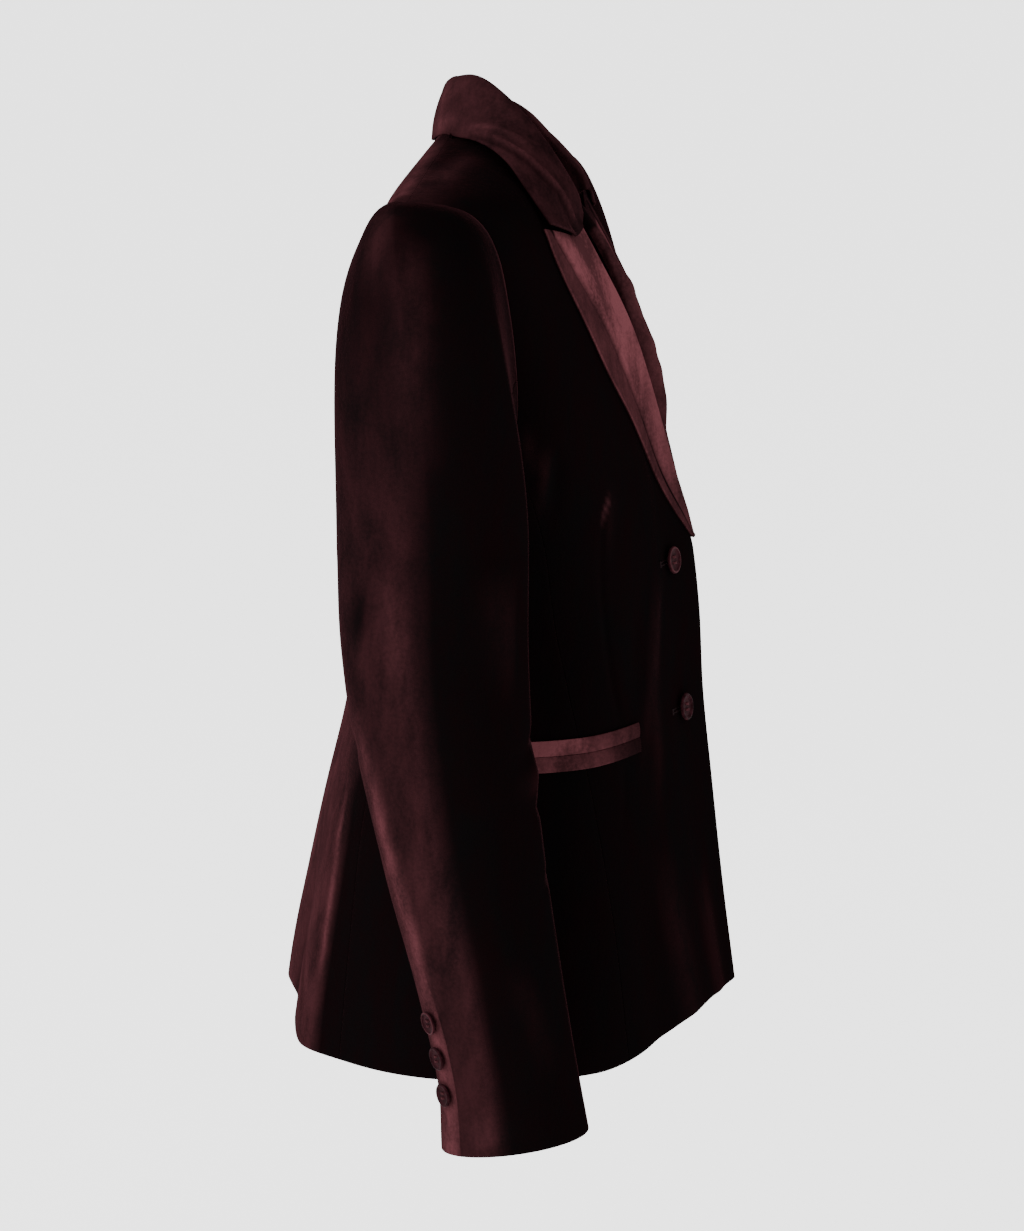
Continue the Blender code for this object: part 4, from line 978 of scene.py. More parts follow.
def lapel_grid(side):
    """Visible face of a lapel: a row across it for each place along the roll line."""
    place = np.linspace(LAPEL_START[side], 1.0, LAPEL_ROWS + 1)
    knots = np.linspace(0.0, 1.0, len(LAPEL))
    roll_z = curve(place, knots, column(LAPEL, "roll_z"))
    joins = smooth((place - LAPEL_START[side]) / LAPEL_EDGE_OVER)
    edge_place = place - LAPEL_EDGE_LOWER[side] * (1 - joins)
    edge_z = curve(edge_place, knots, column(LAPEL, "edge_z"))
    edge_x = curve(edge_place, knots, column(LAPEL, "edge_x"))
    rise = LAPEL_RISE * smooth((place - LAPEL_RISES_FROM) / (1 - LAPEL_RISES_FROM))
    roll_t = level(roll_z + rise)
    roll_x = closing_x(side, roll_t)
    edge, n, off = roll_base(side, roll_t)
    swell = ROLL_AT_BREAK + (1 - ROLL_AT_BREAK) * smooth(place / ROLL_FULL_AT)
    swell = swell * smooth((place - LAPEL_START[side]) / ROLL_STARTS_OVER)
    ease = smooth((place - ROLL_EASES_FROM) / (1 - ROLL_EASES_FROM))
    roll = (ROLL_HEIGHT * swell * (1 - (1 - ROLL_AT_GORGE) * ease))[:, None]
    high = WALL + LAPEL_CLEAR + roll
    start = [edge + off * SEAT - n * WALL / 2, edge + off * (SEAT + roll / 2) + n * high / 2]
    across = []
    for f in np.linspace(0.0, 1.0, LAPEL_COLUMNS + 1):
        t = level(roll_z + (edge_z - roll_z) * f + rise * max(1 - f / LAPEL_NOTCH, 0.0))
        lift = WALL + LAPEL_CLEAR + roll * math.exp(-f / ROLL_SPREAD)
        phi = angle_at(roll_x + (edge_x - roll_x) * f, t)
        across.append(form(side, phi, t) + form_normals(side, phi, t) * lift)
    grid = np.stack(start + across, 1)
    sunk = 1 - smooth((place - LAPEL_START[side]) / LAPEL_SINKS_OVER)
    grid[..., 1] += LAPEL_END_BACK[side] * sunk[:, None]
    return grid


def neck_base(side, phi):
    """The back's neckline at angle phi: point and direction off the edge."""
    t = neckline(phi)
    line = form(side, phi - SMALL_STEP, neckline(phi - SMALL_STEP))
    line = line - form(side, phi + SMALL_STEP, neckline(phi + SMALL_STEP))
    off = unit(np.cross(line, form_normals(side, phi, t)))
    return form(side, phi, t), off * -np.sign(off[:, 1:2])


def neck_seam(side, place):
    """Where the collar sits: 0 to 1 along the back's neckline, 1 to 2 down the roll line."""
    along, down = np.clip(place, 0.0, 1.0), np.clip(place - 1.0, 0.0, 1.0)
    nape, rise = neck_base(side, math.pi - along * angle_at(NECK_HALF, 1.0))
    top = ROLL_LINE[-1].z
    roll, n, off = roll_base(side, level(top + (GORGE_LEVEL - top) * down))
    lap = (STAND_LAP * 4 * down * (1 - down))[:, None]
    roll = roll - lap * (off + n * STAND_BEHIND)
    on_back = (place <= 1.0)[:, None]
    on_front = (place >= 1.0)[:, None]
    return np.where(on_back, nape, roll) + SEAT * (rise * on_back + off * on_front)


def collar_half(side):
    """Visible face of half the collar: a row over the fold for each station."""
    knots = np.linspace(0.0, 1.0, len(COLLAR))
    place = np.linspace(0.0, 1.0, COLLAR_STEPS + 1)
    row = {name: curve(place, knots, column(COLLAR, name)) for name in Station._fields}
    seam = neck_seam(side, row["seam"])
    tucked = np.exp(-((row["seam"] - 1.0) / STAND_TUCK_OVER) ** 2)
    seam[:, 0] -= side * STAND_TUCK * tucked
    seam[:, 2] -= STAND_DROP * tucked
    fold = np.stack([side * row["fold_x"], row["fold_y"], row["fold_z"]], -1)
    fall = np.stack([side * row["fall_x"], row["fall_y"], row["fall_z"]], -1)
    if side == LEFT:
        fold[:, 1] += row["left_back"]
        fold[:, 2] -= row["left_down"]
        t = level(row["fall_z"])
        fall[:, 1] += left_back(angle_at(row["fall_x"], t), t) * (row["seam"] > 1.0)
    up = unit(fold - (seam + fall) / 2)
    out = unit(np.cross(np.gradient(fold, axis=0), up))
    out = out * np.sign(np.sum(out * (fall - seam)))
    radius = np.minimum(FOLD_RADIUS, FOLD_SHARE * np.linalg.norm(fold - seam, axis=-1, keepdims=True))
    neck_side = fold - (out + up) * radius
    fall_side = fold + (out - up) * radius
    bow = np.cross(unit(fall - fall_side), np.gradient(fold, axis=0))
    bow = unit(bow) * np.sign(np.sum(bow * out, -1, keepdims=True)) * FALL_BOW
    dip = smooth((place - COLLAR_DIPS_FROM) / (1 - COLLAR_DIPS_FROM))[:, None] * np.array(COLLAR_DIP)
    path = [seam, seam + (neck_side - seam) / 2, neck_side, fold, fall_side]
    for f in np.linspace(0.0, 1.0, FALL_COLUMNS + 1)[1:]:
        notch = min(f / COLLAR_NOTCH, (1 - f) / (1 - COLLAR_NOTCH))
        path.append(fall_side + (fall - fall_side) * f + bow * 4 * f * (1 - f) + dip * notch)
    return np.stack(path, 1)


def path_on(points):
    """A smooth line through a few points of a crease."""
    knots = np.linspace(0.0, 1.0, len(points))
    at = np.linspace(0.0, 1.0, PATH_STEPS + 1)
    return np.stack([curve(at, knots, points[:, axis]) for axis in range(points.shape[1])], -1)


def body_lines(side, folds):
    """Creases or lines of painted light of one half of the body, laid on its form."""
    for fold in folds[side]:
        at = path_on(np.array(fold.path, float))
        yield fold, form(side, np.radians(at[:, 0]), level(at[:, 1]))


def sleeve_lines(side, folds):
    """Creases or lines of painted light of one sleeve, laid on its rings."""
    for fold in folds[side]:
        at = path_on(np.array(fold.path, float))
        yield fold, ring_points(side, at[:, 1], at[:, 0])


def grid_lines(folds, grid):
    """Creases given by shares along and across a grid, laid on its points."""
    last = np.array(grid.shape[:2]) - 1
    for fold in folds:
        at = np.rint(path_on(np.array(fold.path, float)) * last).astype(int)
        at = np.clip(at, 0, last)
        yield fold, grid[at[:, 0], at[:, 1]]


def relief(points, lines):
    """Height of the creases at each point of a face."""
    height = np.zeros(points.shape[:-1])
    for fold, line in lines:
        nearest = np.full(height.shape, np.inf)
        along = np.zeros(height.shape)
        for i, (a, b) in enumerate(zip(line, line[1:])):
            step = b - a
            length = np.dot(step, step)
            if length == 0.0:
                continue
            f = np.clip(np.sum((points - a) * step, -1) / length, 0.0, 1.0)
            away = np.linalg.norm(points - a - step * f[..., None], axis=-1)
            closer = away < nearest
            nearest = np.where(closer, away, nearest)
            along = np.where(closer, (i + f) / PATH_STEPS, along)
        fade = 1.0
        if fold.start > 0:
            fade = fade * smooth(along / fold.start)
        if fold.end > 0:
            fade = fade * smooth((1 - along) / fold.end)
        height = height + fold.height * fade * np.exp(-(nearest / fold.width) ** 2)
    return height


def creased(grid, n, lines):
    """A face with its creases pressed in or raised, with painted highlight on the raised ones and
    painted shade in the pressed ones.
    """
    height = relief(grid, lines) * bpy.context.scene.blazer_cut.crease_depth
    return grid + n * height[..., None], CREASE_PAINTED_LIGHT * height


def faces_back(n, start):
    """Share of a face that is turned to the back, from a given turn on."""
    return smooth((n[..., 1] - start) / NAP_OVER)


def border(rows, columns):
    """Indices round the edge of a grid, in the order of its faces."""
    bottom = [j for j in range(columns)]
    right = [i * columns + columns - 1 for i in range(1, rows)]
    top = [(rows - 1) * columns + j for j in range(columns - 2, -1, -1)]
    left = [i * columns for i in range(rows - 2, 0, -1)]
    return np.array(bottom + right + top + left)


def off_edges(grid, n):
    """Directions off the edges of a grid, along its face, and the room beside each edge."""
    off = np.zeros_like(grid)
    room = np.full(grid.shape[:2], np.inf)
    for axis in (0, 1):
        lines, out, space = (np.moveaxis(a, axis, 0) for a in (grid, off, room))
        for edge, inner in ((0, 1), (-1, -2)):
            step = lines[edge] - lines[inner]
            out[edge] += unit(step)
            space[edge] = np.minimum(space[edge], np.linalg.norm(step, axis=-1))
    return off - n * np.sum(off * n, -1, keepdims=True), room


def grid_faces(rows, columns, start):
    """Faces of a grid of points that begins at index start."""
    a = (start + np.arange(rows - 1)[:, None] * columns + np.arange(columns - 1)).ravel()
    return np.stack([a, a + 1, a + columns + 1, a + columns], -1)


def band_faces(first, second):
    """Faces between two closed loops of points."""
    return np.stack([np.roll(first, -1), first, second, np.roll(second, -1)], -1)


def add_piece(name, verts, faces, materials, which=None):
    """One named piece, which moves with the whole garment."""
    mesh = bpy.data.meshes.new(name)
    mesh.from_pydata(verts.tolist(), [], faces.tolist())
    for material in materials:
        mesh.materials.append(material)
    if which is not None:
        mesh.polygons.foreach_set("material_index", which)
    mesh.shade_smooth()
    piece = bpy.data.objects.new(name, mesh)
    bpy.context.collection.objects.link(piece)
    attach(piece, "root")
    return piece


def add_shell(node, outer, n, thick, nap, materials):
    """A cloth piece in place of its solid: face, reverse and a rounded edge between them."""
    rows, columns = outer.shape[:2]
    count = rows * columns
    half = thick / 2
    off, room = off_edges(outer, n)
    loop = border(rows, columns)
    off = unit(off.reshape(-1, 3)[loop])
    up = n.reshape(-1, 3)[loop]
    face = outer.reshape(-1, 3).copy()
    edge = face[loop] + off * SEAM_BITE
    pull = np.minimum(half, EDGE_SHARE * room.reshape(-1)[loop])[:, None]
    face[loop] = edge - off * pull
    back = face - n.reshape(-1, 3) * thick
    middle = edge - off * pull - up * half
    verts = [face, back]
    # The attribute carries painted light: painted sheen and highlights where it is raised, painted shade
    # where it is lowered; the reverse gets none
    brushed_and_painted_light = np.clip(nap, 0.0, 1.0).ravel()
    painted_lights = [brushed_and_painted_light, np.zeros(count)]
    loops = [loop]
    for turn in np.radians(EDGE_ANGLES):
        loops.append(2 * count + len(loop) * (len(loops) - 1) + np.arange(len(loop)))
        verts.append(middle + off * pull * math.cos(turn) + up * half * math.sin(turn))
        painted_lights.append(brushed_and_painted_light[loop])
    loops.append(count + loop)
    faces = [grid_faces(rows, columns, 0)]
    faces += [band_faces(a, b) for a, b in zip(loops, loops[1:])]
    shown = sum(len(part) for part in faces[:len(faces) // 2 + 1])
    faces.append(grid_faces(rows, columns, count)[:, ::-1])
    faces = np.concatenate(faces)
    turned = np.cross(outer[0, 1] - outer[0, 0], outer[1, 0] - outer[0, 0])
    if np.dot(turned, n[0, 0]) < 0:
        faces = faces[:, ::-1]
    which = (np.arange(len(faces)) >= shown).astype(np.int32)
    piece = add_piece("cloth_" + node, np.concatenate(verts), faces, materials, which)
    piece.data.attributes.new("nap", "FLOAT", "POINT").data.foreach_set("value", np.concatenate(painted_lights))
    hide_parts(node)
    across = np.linalg.norm(np.diff(outer, axis=1), axis=-1)
    along = np.linalg.norm(np.diff(outer, axis=0), axis=-1)
    square = np.cross(np.diff(outer, axis=1)[:-1], np.diff(outer, axis=0)[:, :-1])
    return piece


class Value:
    """A shader socket. Sums, differences and products on it add their own nodes."""

    def __init__(self, look, socket):
        self.look = look
        self.socket = socket

    def maths(self, operation, first, second):
        return self.look.node("ShaderNodeMath", {"operation": operation}, {0: first, 1: second})

    def __add__(self, other):
        return self.maths("ADD", self, other)

    def __radd__(self, other):
        return self.maths("ADD", other, self)

    def __sub__(self, other):
        return self.maths("SUBTRACT", self, other)

    def __rsub__(self, other):
        return self.maths("SUBTRACT", other, self)

    def __mul__(self, other):
        return self.maths("MULTIPLY", self, other)

    def __rmul__(self, other):
        return self.maths("MULTIPLY", other, self)


class Look:
    """A material and the shader that gives a piece its finish."""

    def __init__(self, name):
        self.material = bpy.data.materials.new(name)
        self.material.use_nodes = True
        self.tree = self.material.node_tree
        self.shader = self.tree.nodes["Principled BSDF"]

    def feed(self, node, sockets):
        """Sets or links the named or numbered sockets of a node."""
        for key, value in sockets.items():
            if isinstance(value, Value):
                self.tree.links.new(value.socket, node.inputs[key])
            else:
                node.inputs[key].default_value = value

    def node(self, kind, settings, sockets, out=0):
        """Any node from its type, its settings and the values or links of its sockets."""
        node = self.tree.nodes.new(kind)
        for key, value in settings.items():
            setattr(node, key, value)
        self.feed(node, sockets)
        return Value(self, node.outputs[out])

    def noise(self, at, scale, detail, distortion=0.0):
        """Cloudy variation of a given fineness."""
        return self.node("ShaderNodeTexNoise", {}, {
            "Vector": at, "Scale": scale, "Detail": detail, "Distortion": distortion})

    def between(self, value, low, high):
        """A value spread so that low becomes 0 and high becomes 1."""
        return self.node("ShaderNodeMapRange", {"clamp": True}, {0: value, 1: low, 2: high})

    def blend(self, share, first, second):
        """A colour between two others."""
        return self.node("ShaderNodeMix", {"data_type": "RGBA"}, {0: share, 6: first, 7: second}, 2)

    def bump(self, height, strength, distance, below=None):
        """Relief from a height, on top of coarser relief."""
        sockets = {"Height": height, "Strength": strength, "Distance": distance}
        if below is not None:
            sockets["Normal"] = below
        return self.node("ShaderNodeBump", {}, sockets)


def velvet(name, pile, nap, nap_up, tint, sheen, softness, lean):
    """Cut pile: dark where it is looked into, lighter where the attribute of painted light lays a
    painted sheen on it, with a soft sheen.

    The pile leans, so the cloth shades as if it were turned a little that way.
    """
    look = Look(name)
    at = look.node("ShaderNodeTexCoord", {}, {}, "Object")
    fall = look.node("ShaderNodeMapping", {}, {"Vector": at, "Scale": PATCH_STRETCH})
    brushed_and_painted_light = look.noise(fall, *BRUSHED)
    strokes = look.noise(fall, *STROKES)
    grain = look.noise(at, *GRAIN)
    tufts = look.noise(at, *TUFTS)
    patches = BRUSHED_SHARE * brushed_and_painted_light + STROKES_SHARE * strokes + GRAIN_SHARE * grain
    patches = look.between(patches, *PATCH_RANGE)
    # Painted light: the attribute lightens the colour towards the painted sheen colour, more on the
    # patches
    painted_light_share = look.node("ShaderNodeAttribute", {"attribute_name": "nap"}, {}, "Fac")
    colour = look.blend(patches, pile, nap)
    colour = look.blend(painted_light_share * (PATCH_LEAST + PATCH_MORE * patches), colour, nap_up)
    face = look.node("ShaderNodeNewGeometry", {}, {}, "Normal")
    turned = look.node("ShaderNodeVectorMath", {"operation": "ADD"}, {0: face, 1: lean})
    turned = look.node("ShaderNodeVectorMath", {"operation": "NORMALIZE"}, {0: turned})
    stand = look.bump(patches, *PATCH_RELIEF, turned)
    look.feed(look.shader, {
        "Base Color": look.blend(TUFT_SHADE * tufts, colour, (0.0, 0.0, 0.0, 1.0)),
        "Roughness": 0.70 + 0.2 * tufts,
        "Normal": look.bump(tufts, *TUFT_RELIEF, stand),
        "Specular IOR Level": 0.0,
        "Sheen Weight": sheen,
        "Sheen Roughness": softness,
        "Sheen Tint": tint,
    })
    return look.material


def ground(name, warp, weft):
    """The woven reverse of the velvet: a close plain weave."""
    look = Look(name)
    at = look.node("ShaderNodeTexCoord", {}, {}, "Object")
    ribs = []
    for way in ("Z", "DIAGONAL"):
        rib = {"bands_direction": way, "wave_profile": "SIN"}
        ribs.append(look.node("ShaderNodeTexWave", rib, {"Vector": at, **WEAVE}))
    weave = ribs[0] * ribs[1]
    wear_and_painted_rim_highlight = look.noise(at, *WEAR)
    look.feed(look.shader, {
        "Base Color": look.blend(WEAVE_SHARE * weave + WEAR_SHARE * wear_and_painted_rim_highlight, warp, weft),
        "Roughness": 0.78 + 0.12 * wear_and_painted_rim_highlight,
        "Normal": look.bump(weave, *WEAVE_RELIEF),
        "Specular IOR Level": 0.0,
        "Sheen Weight": 0.02,
        "Sheen Tint": weft,
    })
    return look.material


def horn(name, dark, light, wear_and_painted_rim_highlight):
    """Polished, lightly clouded button horn, with a painted highlight lightening its rim."""
    look = Look(name)
    at = look.node("ShaderNodeTexCoord", {}, {}, "Object")
    cloud = look.noise(at, *HORN_CLOUDS)
    rub = look.noise(at, *HORN_RUB)
    rim = look.node("ShaderNodeAttribute", {"attribute_name": "rim"}, {}, "Fac")
    colour = look.blend(look.between(cloud, *CLOUD_RANGE), dark, light)
    look.feed(look.shader, {
        "Base Color": look.blend(RIM_PAINTED_HIGHLIGHT * rim, colour, wear_and_painted_rim_highlight),
        "Roughness": 0.34 + 0.16 * rub,
        "Normal": look.bump(rub, *HORN_RELIEF),
        "Specular IOR Level": 0.004,
    })
    return look.material


def thread(name, dark, light):
    """Twisted sewing silk."""
    look = Look(name)
    at = look.node("ShaderNodeTexCoord", {}, {}, "Object")
    rib = {"bands_direction": "DIAGONAL", "wave_profile": "SAW"}
    twist = look.node("ShaderNodeTexWave", rib, {"Vector": at, **TWIST_OF_SILK})
    fuzz = look.noise(at, *SILK_FUZZ)
    look.feed(look.shader, {
        "Base Color": look.blend(TWIST_SHARE * twist + FUZZ_SHARE * fuzz, dark, light),
        "Roughness": 0.45 + 0.2 * fuzz,
        "Normal": look.bump(twist, *SILK_RELIEF),
        "Specular IOR Level": 0.01,
    })
    return look.material


def rgba(colour):
    """A property's colour with full cover."""
    return (colour[0], colour[1], colour[2], 1.0)


def shared(name, make, *values):
    """A material that several pieces share, made once."""
    return bpy.data.materials.get(name) or make(name, *values)


def cloth(name):
    """Face and reverse of a cloth."""
    dye = bpy.context.scene.blazer_dye
    face = FACES[name]
    front = shared(name, velvet, rgba(dye.pile), rgba(dye.nap), rgba(getattr(dye, face.nap_up)),
                   rgba(dye.sheen), face.sheen, face.softness, face.lean)
    return front, shared("cut_velvet_reverse", ground, rgba(dye.reverse), rgba(dye.reverse_light))


def add_panel(node, side, patch, across, along, brushed_and_painted_light=0.0):
    """A body panel from its patch function, the places of its columns and rows, and its share of painted
    sheen where it faces the back.
    """
    s, t = np.meshgrid(across, along)
    outer = patch(s, t)
    n = outward(grid_normals(outer), outer)
    # Lines of painted highlight and shade
    nap = relief(outer, body_lines(side, BODY_PAINTED_LIGHT))
    outer, painted_crease_light = creased(outer, n, body_lines(side, BODY_FOLDS))
    n = outward(grid_normals(outer), outer)
    # Painted sheen where the panel faces the back
    nap = nap + painted_crease_light + brushed_and_painted_light * faces_back(n, BODY_SHEEN_FROM)
    # Painted shade along the first seam of the panel
    nap[:, 0] *= SEAM_SHADE
    add_shell(node, outer, n, bpy.context.scene.blazer_cut.cloth, nap, cloth("cut_velvet"))


def add_body(word, side):
    """Front, side and back panel of one half."""
    rows = finer(body_rows(), ROW_PARTS)
    low = finer(body_rows()[:LOWER_ROWS], ROW_PARTS) / level(SIDE_TOP)
    add_panel("front_" + word, side, front_patch(side), np.linspace(0, 1, FRONT_STEPS + 1), rows)
    add_panel("side_" + word, side, side_patch(side), np.linspace(0, 1, SIDE_STEPS + 1), low)
    add_panel("back_" + word, side, back_patch(side), np.linspace(0, 1, BACK_STEPS + 1), rows, BODY_PAINTED_SHEEN)


def add_sleeve(word, side):
    """Upper and under sleeve of one arm."""
    outer, forearm, hindarm = sleeve_grid(side)
    # Lines of painted highlight and shade
    nap = relief(outer, sleeve_lines(side, SLEEVE_PAINTED_LIGHT))
    nap = nap + relief(outer, grid_lines(CAP_PAINTED_LIGHT[side], outer))
    outer, painted_crease_light = creased(outer, ring_normals(outer), sleeve_lines(side, SLEEVE_FOLDS))
    n = ring_normals(outer)
    away = np.linalg.norm(outer - outer[0], axis=-1)
    # Painted sheen where the sleeve faces the back, growing away from the armhole
    nap = nap + painted_crease_light + SLEEVE_PAINTED_SHEEN * faces_back(n, SLEEVE_SHEEN_FROM) * smooth(away / SLEEVE_SHEEN_FULL)
    # Painted highlight along the sleeve's armhole edge
    nap[0] += SEAM_HIGHLIGHT
    # Painted highlight along the hindarm edge of the under sleeve
    hindarm_highlight = relief(outer, sleeve_lines(side, UNDER_PAINTED_HIGHLIGHT))
    count = outer.shape[1]
    upper = np.arange(hindarm, count + forearm + 1) % count
    under = np.arange(forearm, hindarm + 1)
    thick = bpy.context.scene.blazer_cut.cloth
    add_shell("sleeve_upper_" + word, outer[:, upper], n[:, upper], thick, nap[:, upper],
              cloth("cut_velvet"))
    add_shell("sleeve_under_" + word, outer[:, under], n[:, under], thick, (nap + hindarm_highlight)[:, under],
              cloth("cut_velvet"))


def add_lapel(word, side):
    """Turned-back lapel of one front, with its roll."""
    outer = flowing(lapel_grid(side), LAPEL_PARTS)
    n = grid_normals(outer)
    way = np.sign(np.sum(n * np.array(LAPEL_FACES), -1).mean())
    outer, painted_crease_light = creased(outer, n * way, grid_lines(LAPEL_FOLDS[side], outer))
    along, across = (np.linspace(0.0, 1.0, steps) for steps in outer.shape[:2])
    ditch = np.array(LAPEL_DITCH)
    beyond = (across - np.interp(along, ditch[:, 0], ditch[:, 1])[:, None]) / DITCH_WIDTH
    # Painted sheen up the lapel, held low on the outer band beyond the ditch as painted shade, a line of
    # painted shade in the ditch and a painted highlight on the rim
    up = np.array(LAPEL_PAINTED_SHEEN[side])
    nap = np.interp(along, up[:, 0], up[:, 1])[:, None]
    nap = nap + (np.minimum(LAPEL_EDGE_PAINTED_LIGHT[side], nap) - nap) * smooth(beyond + 0.5) + painted_crease_light
    nap = nap - DITCH_PAINTED_SHADE * np.exp(-beyond ** 2)
    nap[:, -1] += LAPEL_RIM_HIGHLIGHT
    add_shell("lapel_" + word, outer, grid_normals(outer) * way, bpy.context.scene.blazer_cut.cloth,
              nap, cloth("lapel_velvet"))


def add_collar():
    """The folded collar: stand and fall in one piece, both halves."""
    right = collar_half(RIGHT)[::-1]
    left = collar_half(LEFT)[1:]
    outer = np.concatenate([right, left])
    over = outer[:, FOLD_COLUMN] - (outer[:, 0] + outer[:, -1]) / 2
    way = np.sign(np.sum(grid_normals(outer)[:, FOLD_COLUMN] * over, -1).mean())
    outer = flowing(outer, COLLAR_PARTS)
    # Painted sheen over the whole collar, with lines of painted highlight and shade on it
    nap = COLLAR_PAINTED_SHEEN + relief(outer, grid_lines(COLLAR_PAINTED_LIGHT, outer))
    outer, painted_crease_light = creased(outer, grid_normals(outer) * way, grid_lines(COLLAR_FOLDS, outer))
    add_shell("collar", outer, grid_normals(outer) * way, bpy.context.scene.blazer_cut.cloth,
              nap + painted_crease_light, cloth("cut_velvet"))


def add_welts(word, side):
    """Upper and lower welt of one pocket, lying on front and side panel."""
    for name, way in (("upper", 1), ("lower", -1)):
        share = np.linspace(0.0, 1.0, WELT_ROWS + 1)
        z = POCKET_LEVEL + (SEAM_GAP / 2 + WELT_HEIGHT * share) * way
        phi, t = np.meshgrid(np.linspace(POCKET_FROM, POCKET_TO, WELT_COLUMNS + 1), level(z))
        at, n = form(side, phi, t), form_normals(side, phi, t)
        crown = (WELT_CROWN * 4 * share * (1 - share))[:, None, None]
        outer = creased(at, n, body_lines(side, BODY_FOLDS))[0] + n * (WELT_CLEAR + WELT_THICK + crown)
        # Painted sheen along the welt, fading to painted shade at its front end
        welt_painted_light = np.array(WELT_PAINTED_SHEEN[name])
        nap = np.interp(np.linspace(0.0, 1.0, WELT_COLUMNS + 1), welt_painted_light[:, 0], welt_painted_light[:, 1])
        add_shell("pocket_welt_" + name + "_" + word, outer, n, WELT_THICK,
                  np.broadcast_to(nap, outer.shape[:2]), cloth("welt_velvet"))


def tube(path, radius, up, sides, closed):
    """Points and faces of a thread along a path: radius at each point, and the side it turns up."""
    ahead = np.gradient(path, axis=0)
    if closed:
        ahead = np.roll(path, -1, axis=0) - np.roll(path, 1, axis=0)
    ahead = unit(ahead)
    beside = unit(np.cross(ahead, up))
    above = np.cross(beside, ahead)
    turn = np.linspace(0.0, 2 * math.pi, sides, endpoint=False)
    ring = np.cos(turn)[:, None, None] * beside + np.sin(turn)[:, None, None] * above
    verts = (path + ring * np.asarray(radius)[..., None]).transpose(1, 0, 2).reshape(-1, 3)
    loops = np.arange(len(path) * sides).reshape(len(path), sides)
    pairs = list(zip(loops, loops[1:]))
    if closed:
        pairs.append((loops[-1], loops[0]))
    return verts, np.concatenate([band_faces(a, b) for a, b in pairs])


def joined(parts):
    """Several meshes of points and faces as one."""
    verts, faces, count = [], [], 0
    for points, polygons in parts:
        verts.append(points)
        faces.append(polygons + count)
        count += len(points)
    return np.concatenate(verts), np.concatenate(faces)


def button_mesh(name, radius):
    """The turned disc of a button with four holes drilled through its dish."""
    corners = np.array([BUTTON_PROFILE])
    profile = flowing(corners, BUTTON_PARTS)[0] * radius
    disc = bmesh.new()
    first = [disc.verts.new((max(r, 0.0), 0.0, h)) for r, h in profile]
    edges = [disc.edges.new(pair) for pair in zip(first, first[1:])]
    bmesh.ops.spin(disc, geom=first + edges, axis=(0, 0, 1), cent=(0, 0, 0),
                   angle=2 * math.pi, steps=BUTTON_SIDES, use_merge=True)
    bmesh.ops.remove_doubles(disc, verts=disc.verts, dist=radius * 1e-4)
    bmesh.ops.recalc_face_normals(disc, faces=disc.faces)
    mesh = bpy.data.meshes.new(name)
    disc.to_mesh(mesh)
    disc.free()
    drill = bmesh.new()
    for x in (-1, 1):
        for y in (-1, 1):
            made = bmesh.ops.create_cone(drill, cap_ends=True, segments=HOLE_SIDES, depth=radius,
                                         radius1=radius * HOLE_RADIUS, radius2=radius * HOLE_RADIUS)
            shift = Vector((x, y, 0)) * radius * HOLE_SPREAD + Vector((0, 0, DRILL_HEIGHT * radius))
            bmesh.ops.translate(drill, verts=made["verts"], vec=shift)
    cutter_mesh = bpy.data.meshes.new("drill")
    drill.to_mesh(cutter_mesh)
    drill.free()
    cutter = bpy.data.objects.new("drill", cutter_mesh)
    blank = bpy.data.objects.new("blank", mesh)
    for helper in (cutter, blank):
        bpy.context.collection.objects.link(helper)
    bore = blank.modifiers.new("bore", "BOOLEAN")
    bore.operation = "DIFFERENCE"
    bore.object = cutter
    drilled = bpy.data.meshes.new_from_object(blank.evaluated_get(bpy.context.evaluated_depsgraph_get()))
    for helper in (cutter, blank):
        bpy.data.objects.remove(helper)
    x, y, z = np.array([corner.co for corner in drilled.vertices]).T / radius
    # Mask of the painted rim highlight
    rim = np.exp(-((np.hypot(x, y) - RIM_RADIUS) / RIM_WIDTH) ** 2) * (z > RIM_FROM)
    drilled.attributes.new("rim", "FLOAT", "POINT").data.foreach_set("value", rim)
    return drilled


def button_threads(radius):
    """Two stitches over the holes of a button and the wound shank under it."""
    parts = []
    f = np.linspace(0.0, 1.0, THREAD_STEPS)
    bow = (THREAD_BOW + HOLE_DEPTH) * np.sin(f * math.pi) ** THREAD_ROUND
    wide = np.full(THREAD_STEPS, THREAD_RADIUS * radius * THREAD_SHARE)
    for y in (-1, 1):
        for lie in (-0.5, 0.5):
            beside = np.full(THREAD_STEPS, y * HOLE_SPREAD + lie * THREAD_RADIUS * THREAD_APART)
            path = np.stack([(2 * f - 1) * HOLE_SPREAD, beside, DISH_HEIGHT - HOLE_DEPTH + bow], -1)
            parts.append(tube(path * radius, wide, np.array([0.0, 1.0, 0.0]), THREAD_SIDES, False))
    turns = np.linspace(0.0, SHANK_TURNS * 2 * math.pi, SHANK_STEPS)
    height = np.linspace(SHANK_FROM, SHANK_TO, SHANK_STEPS)
    shank = np.stack([SHANK_RADIUS * np.cos(turns), SHANK_RADIUS * np.sin(turns), height], -1) * radius
    wide = np.full(SHANK_STEPS, SHANK_THREAD * radius)
    parts.append(tube(shank, wide, np.array([0.0, 0.0, 1.0]), SHANK_SIDES, False))
    return joined(parts)


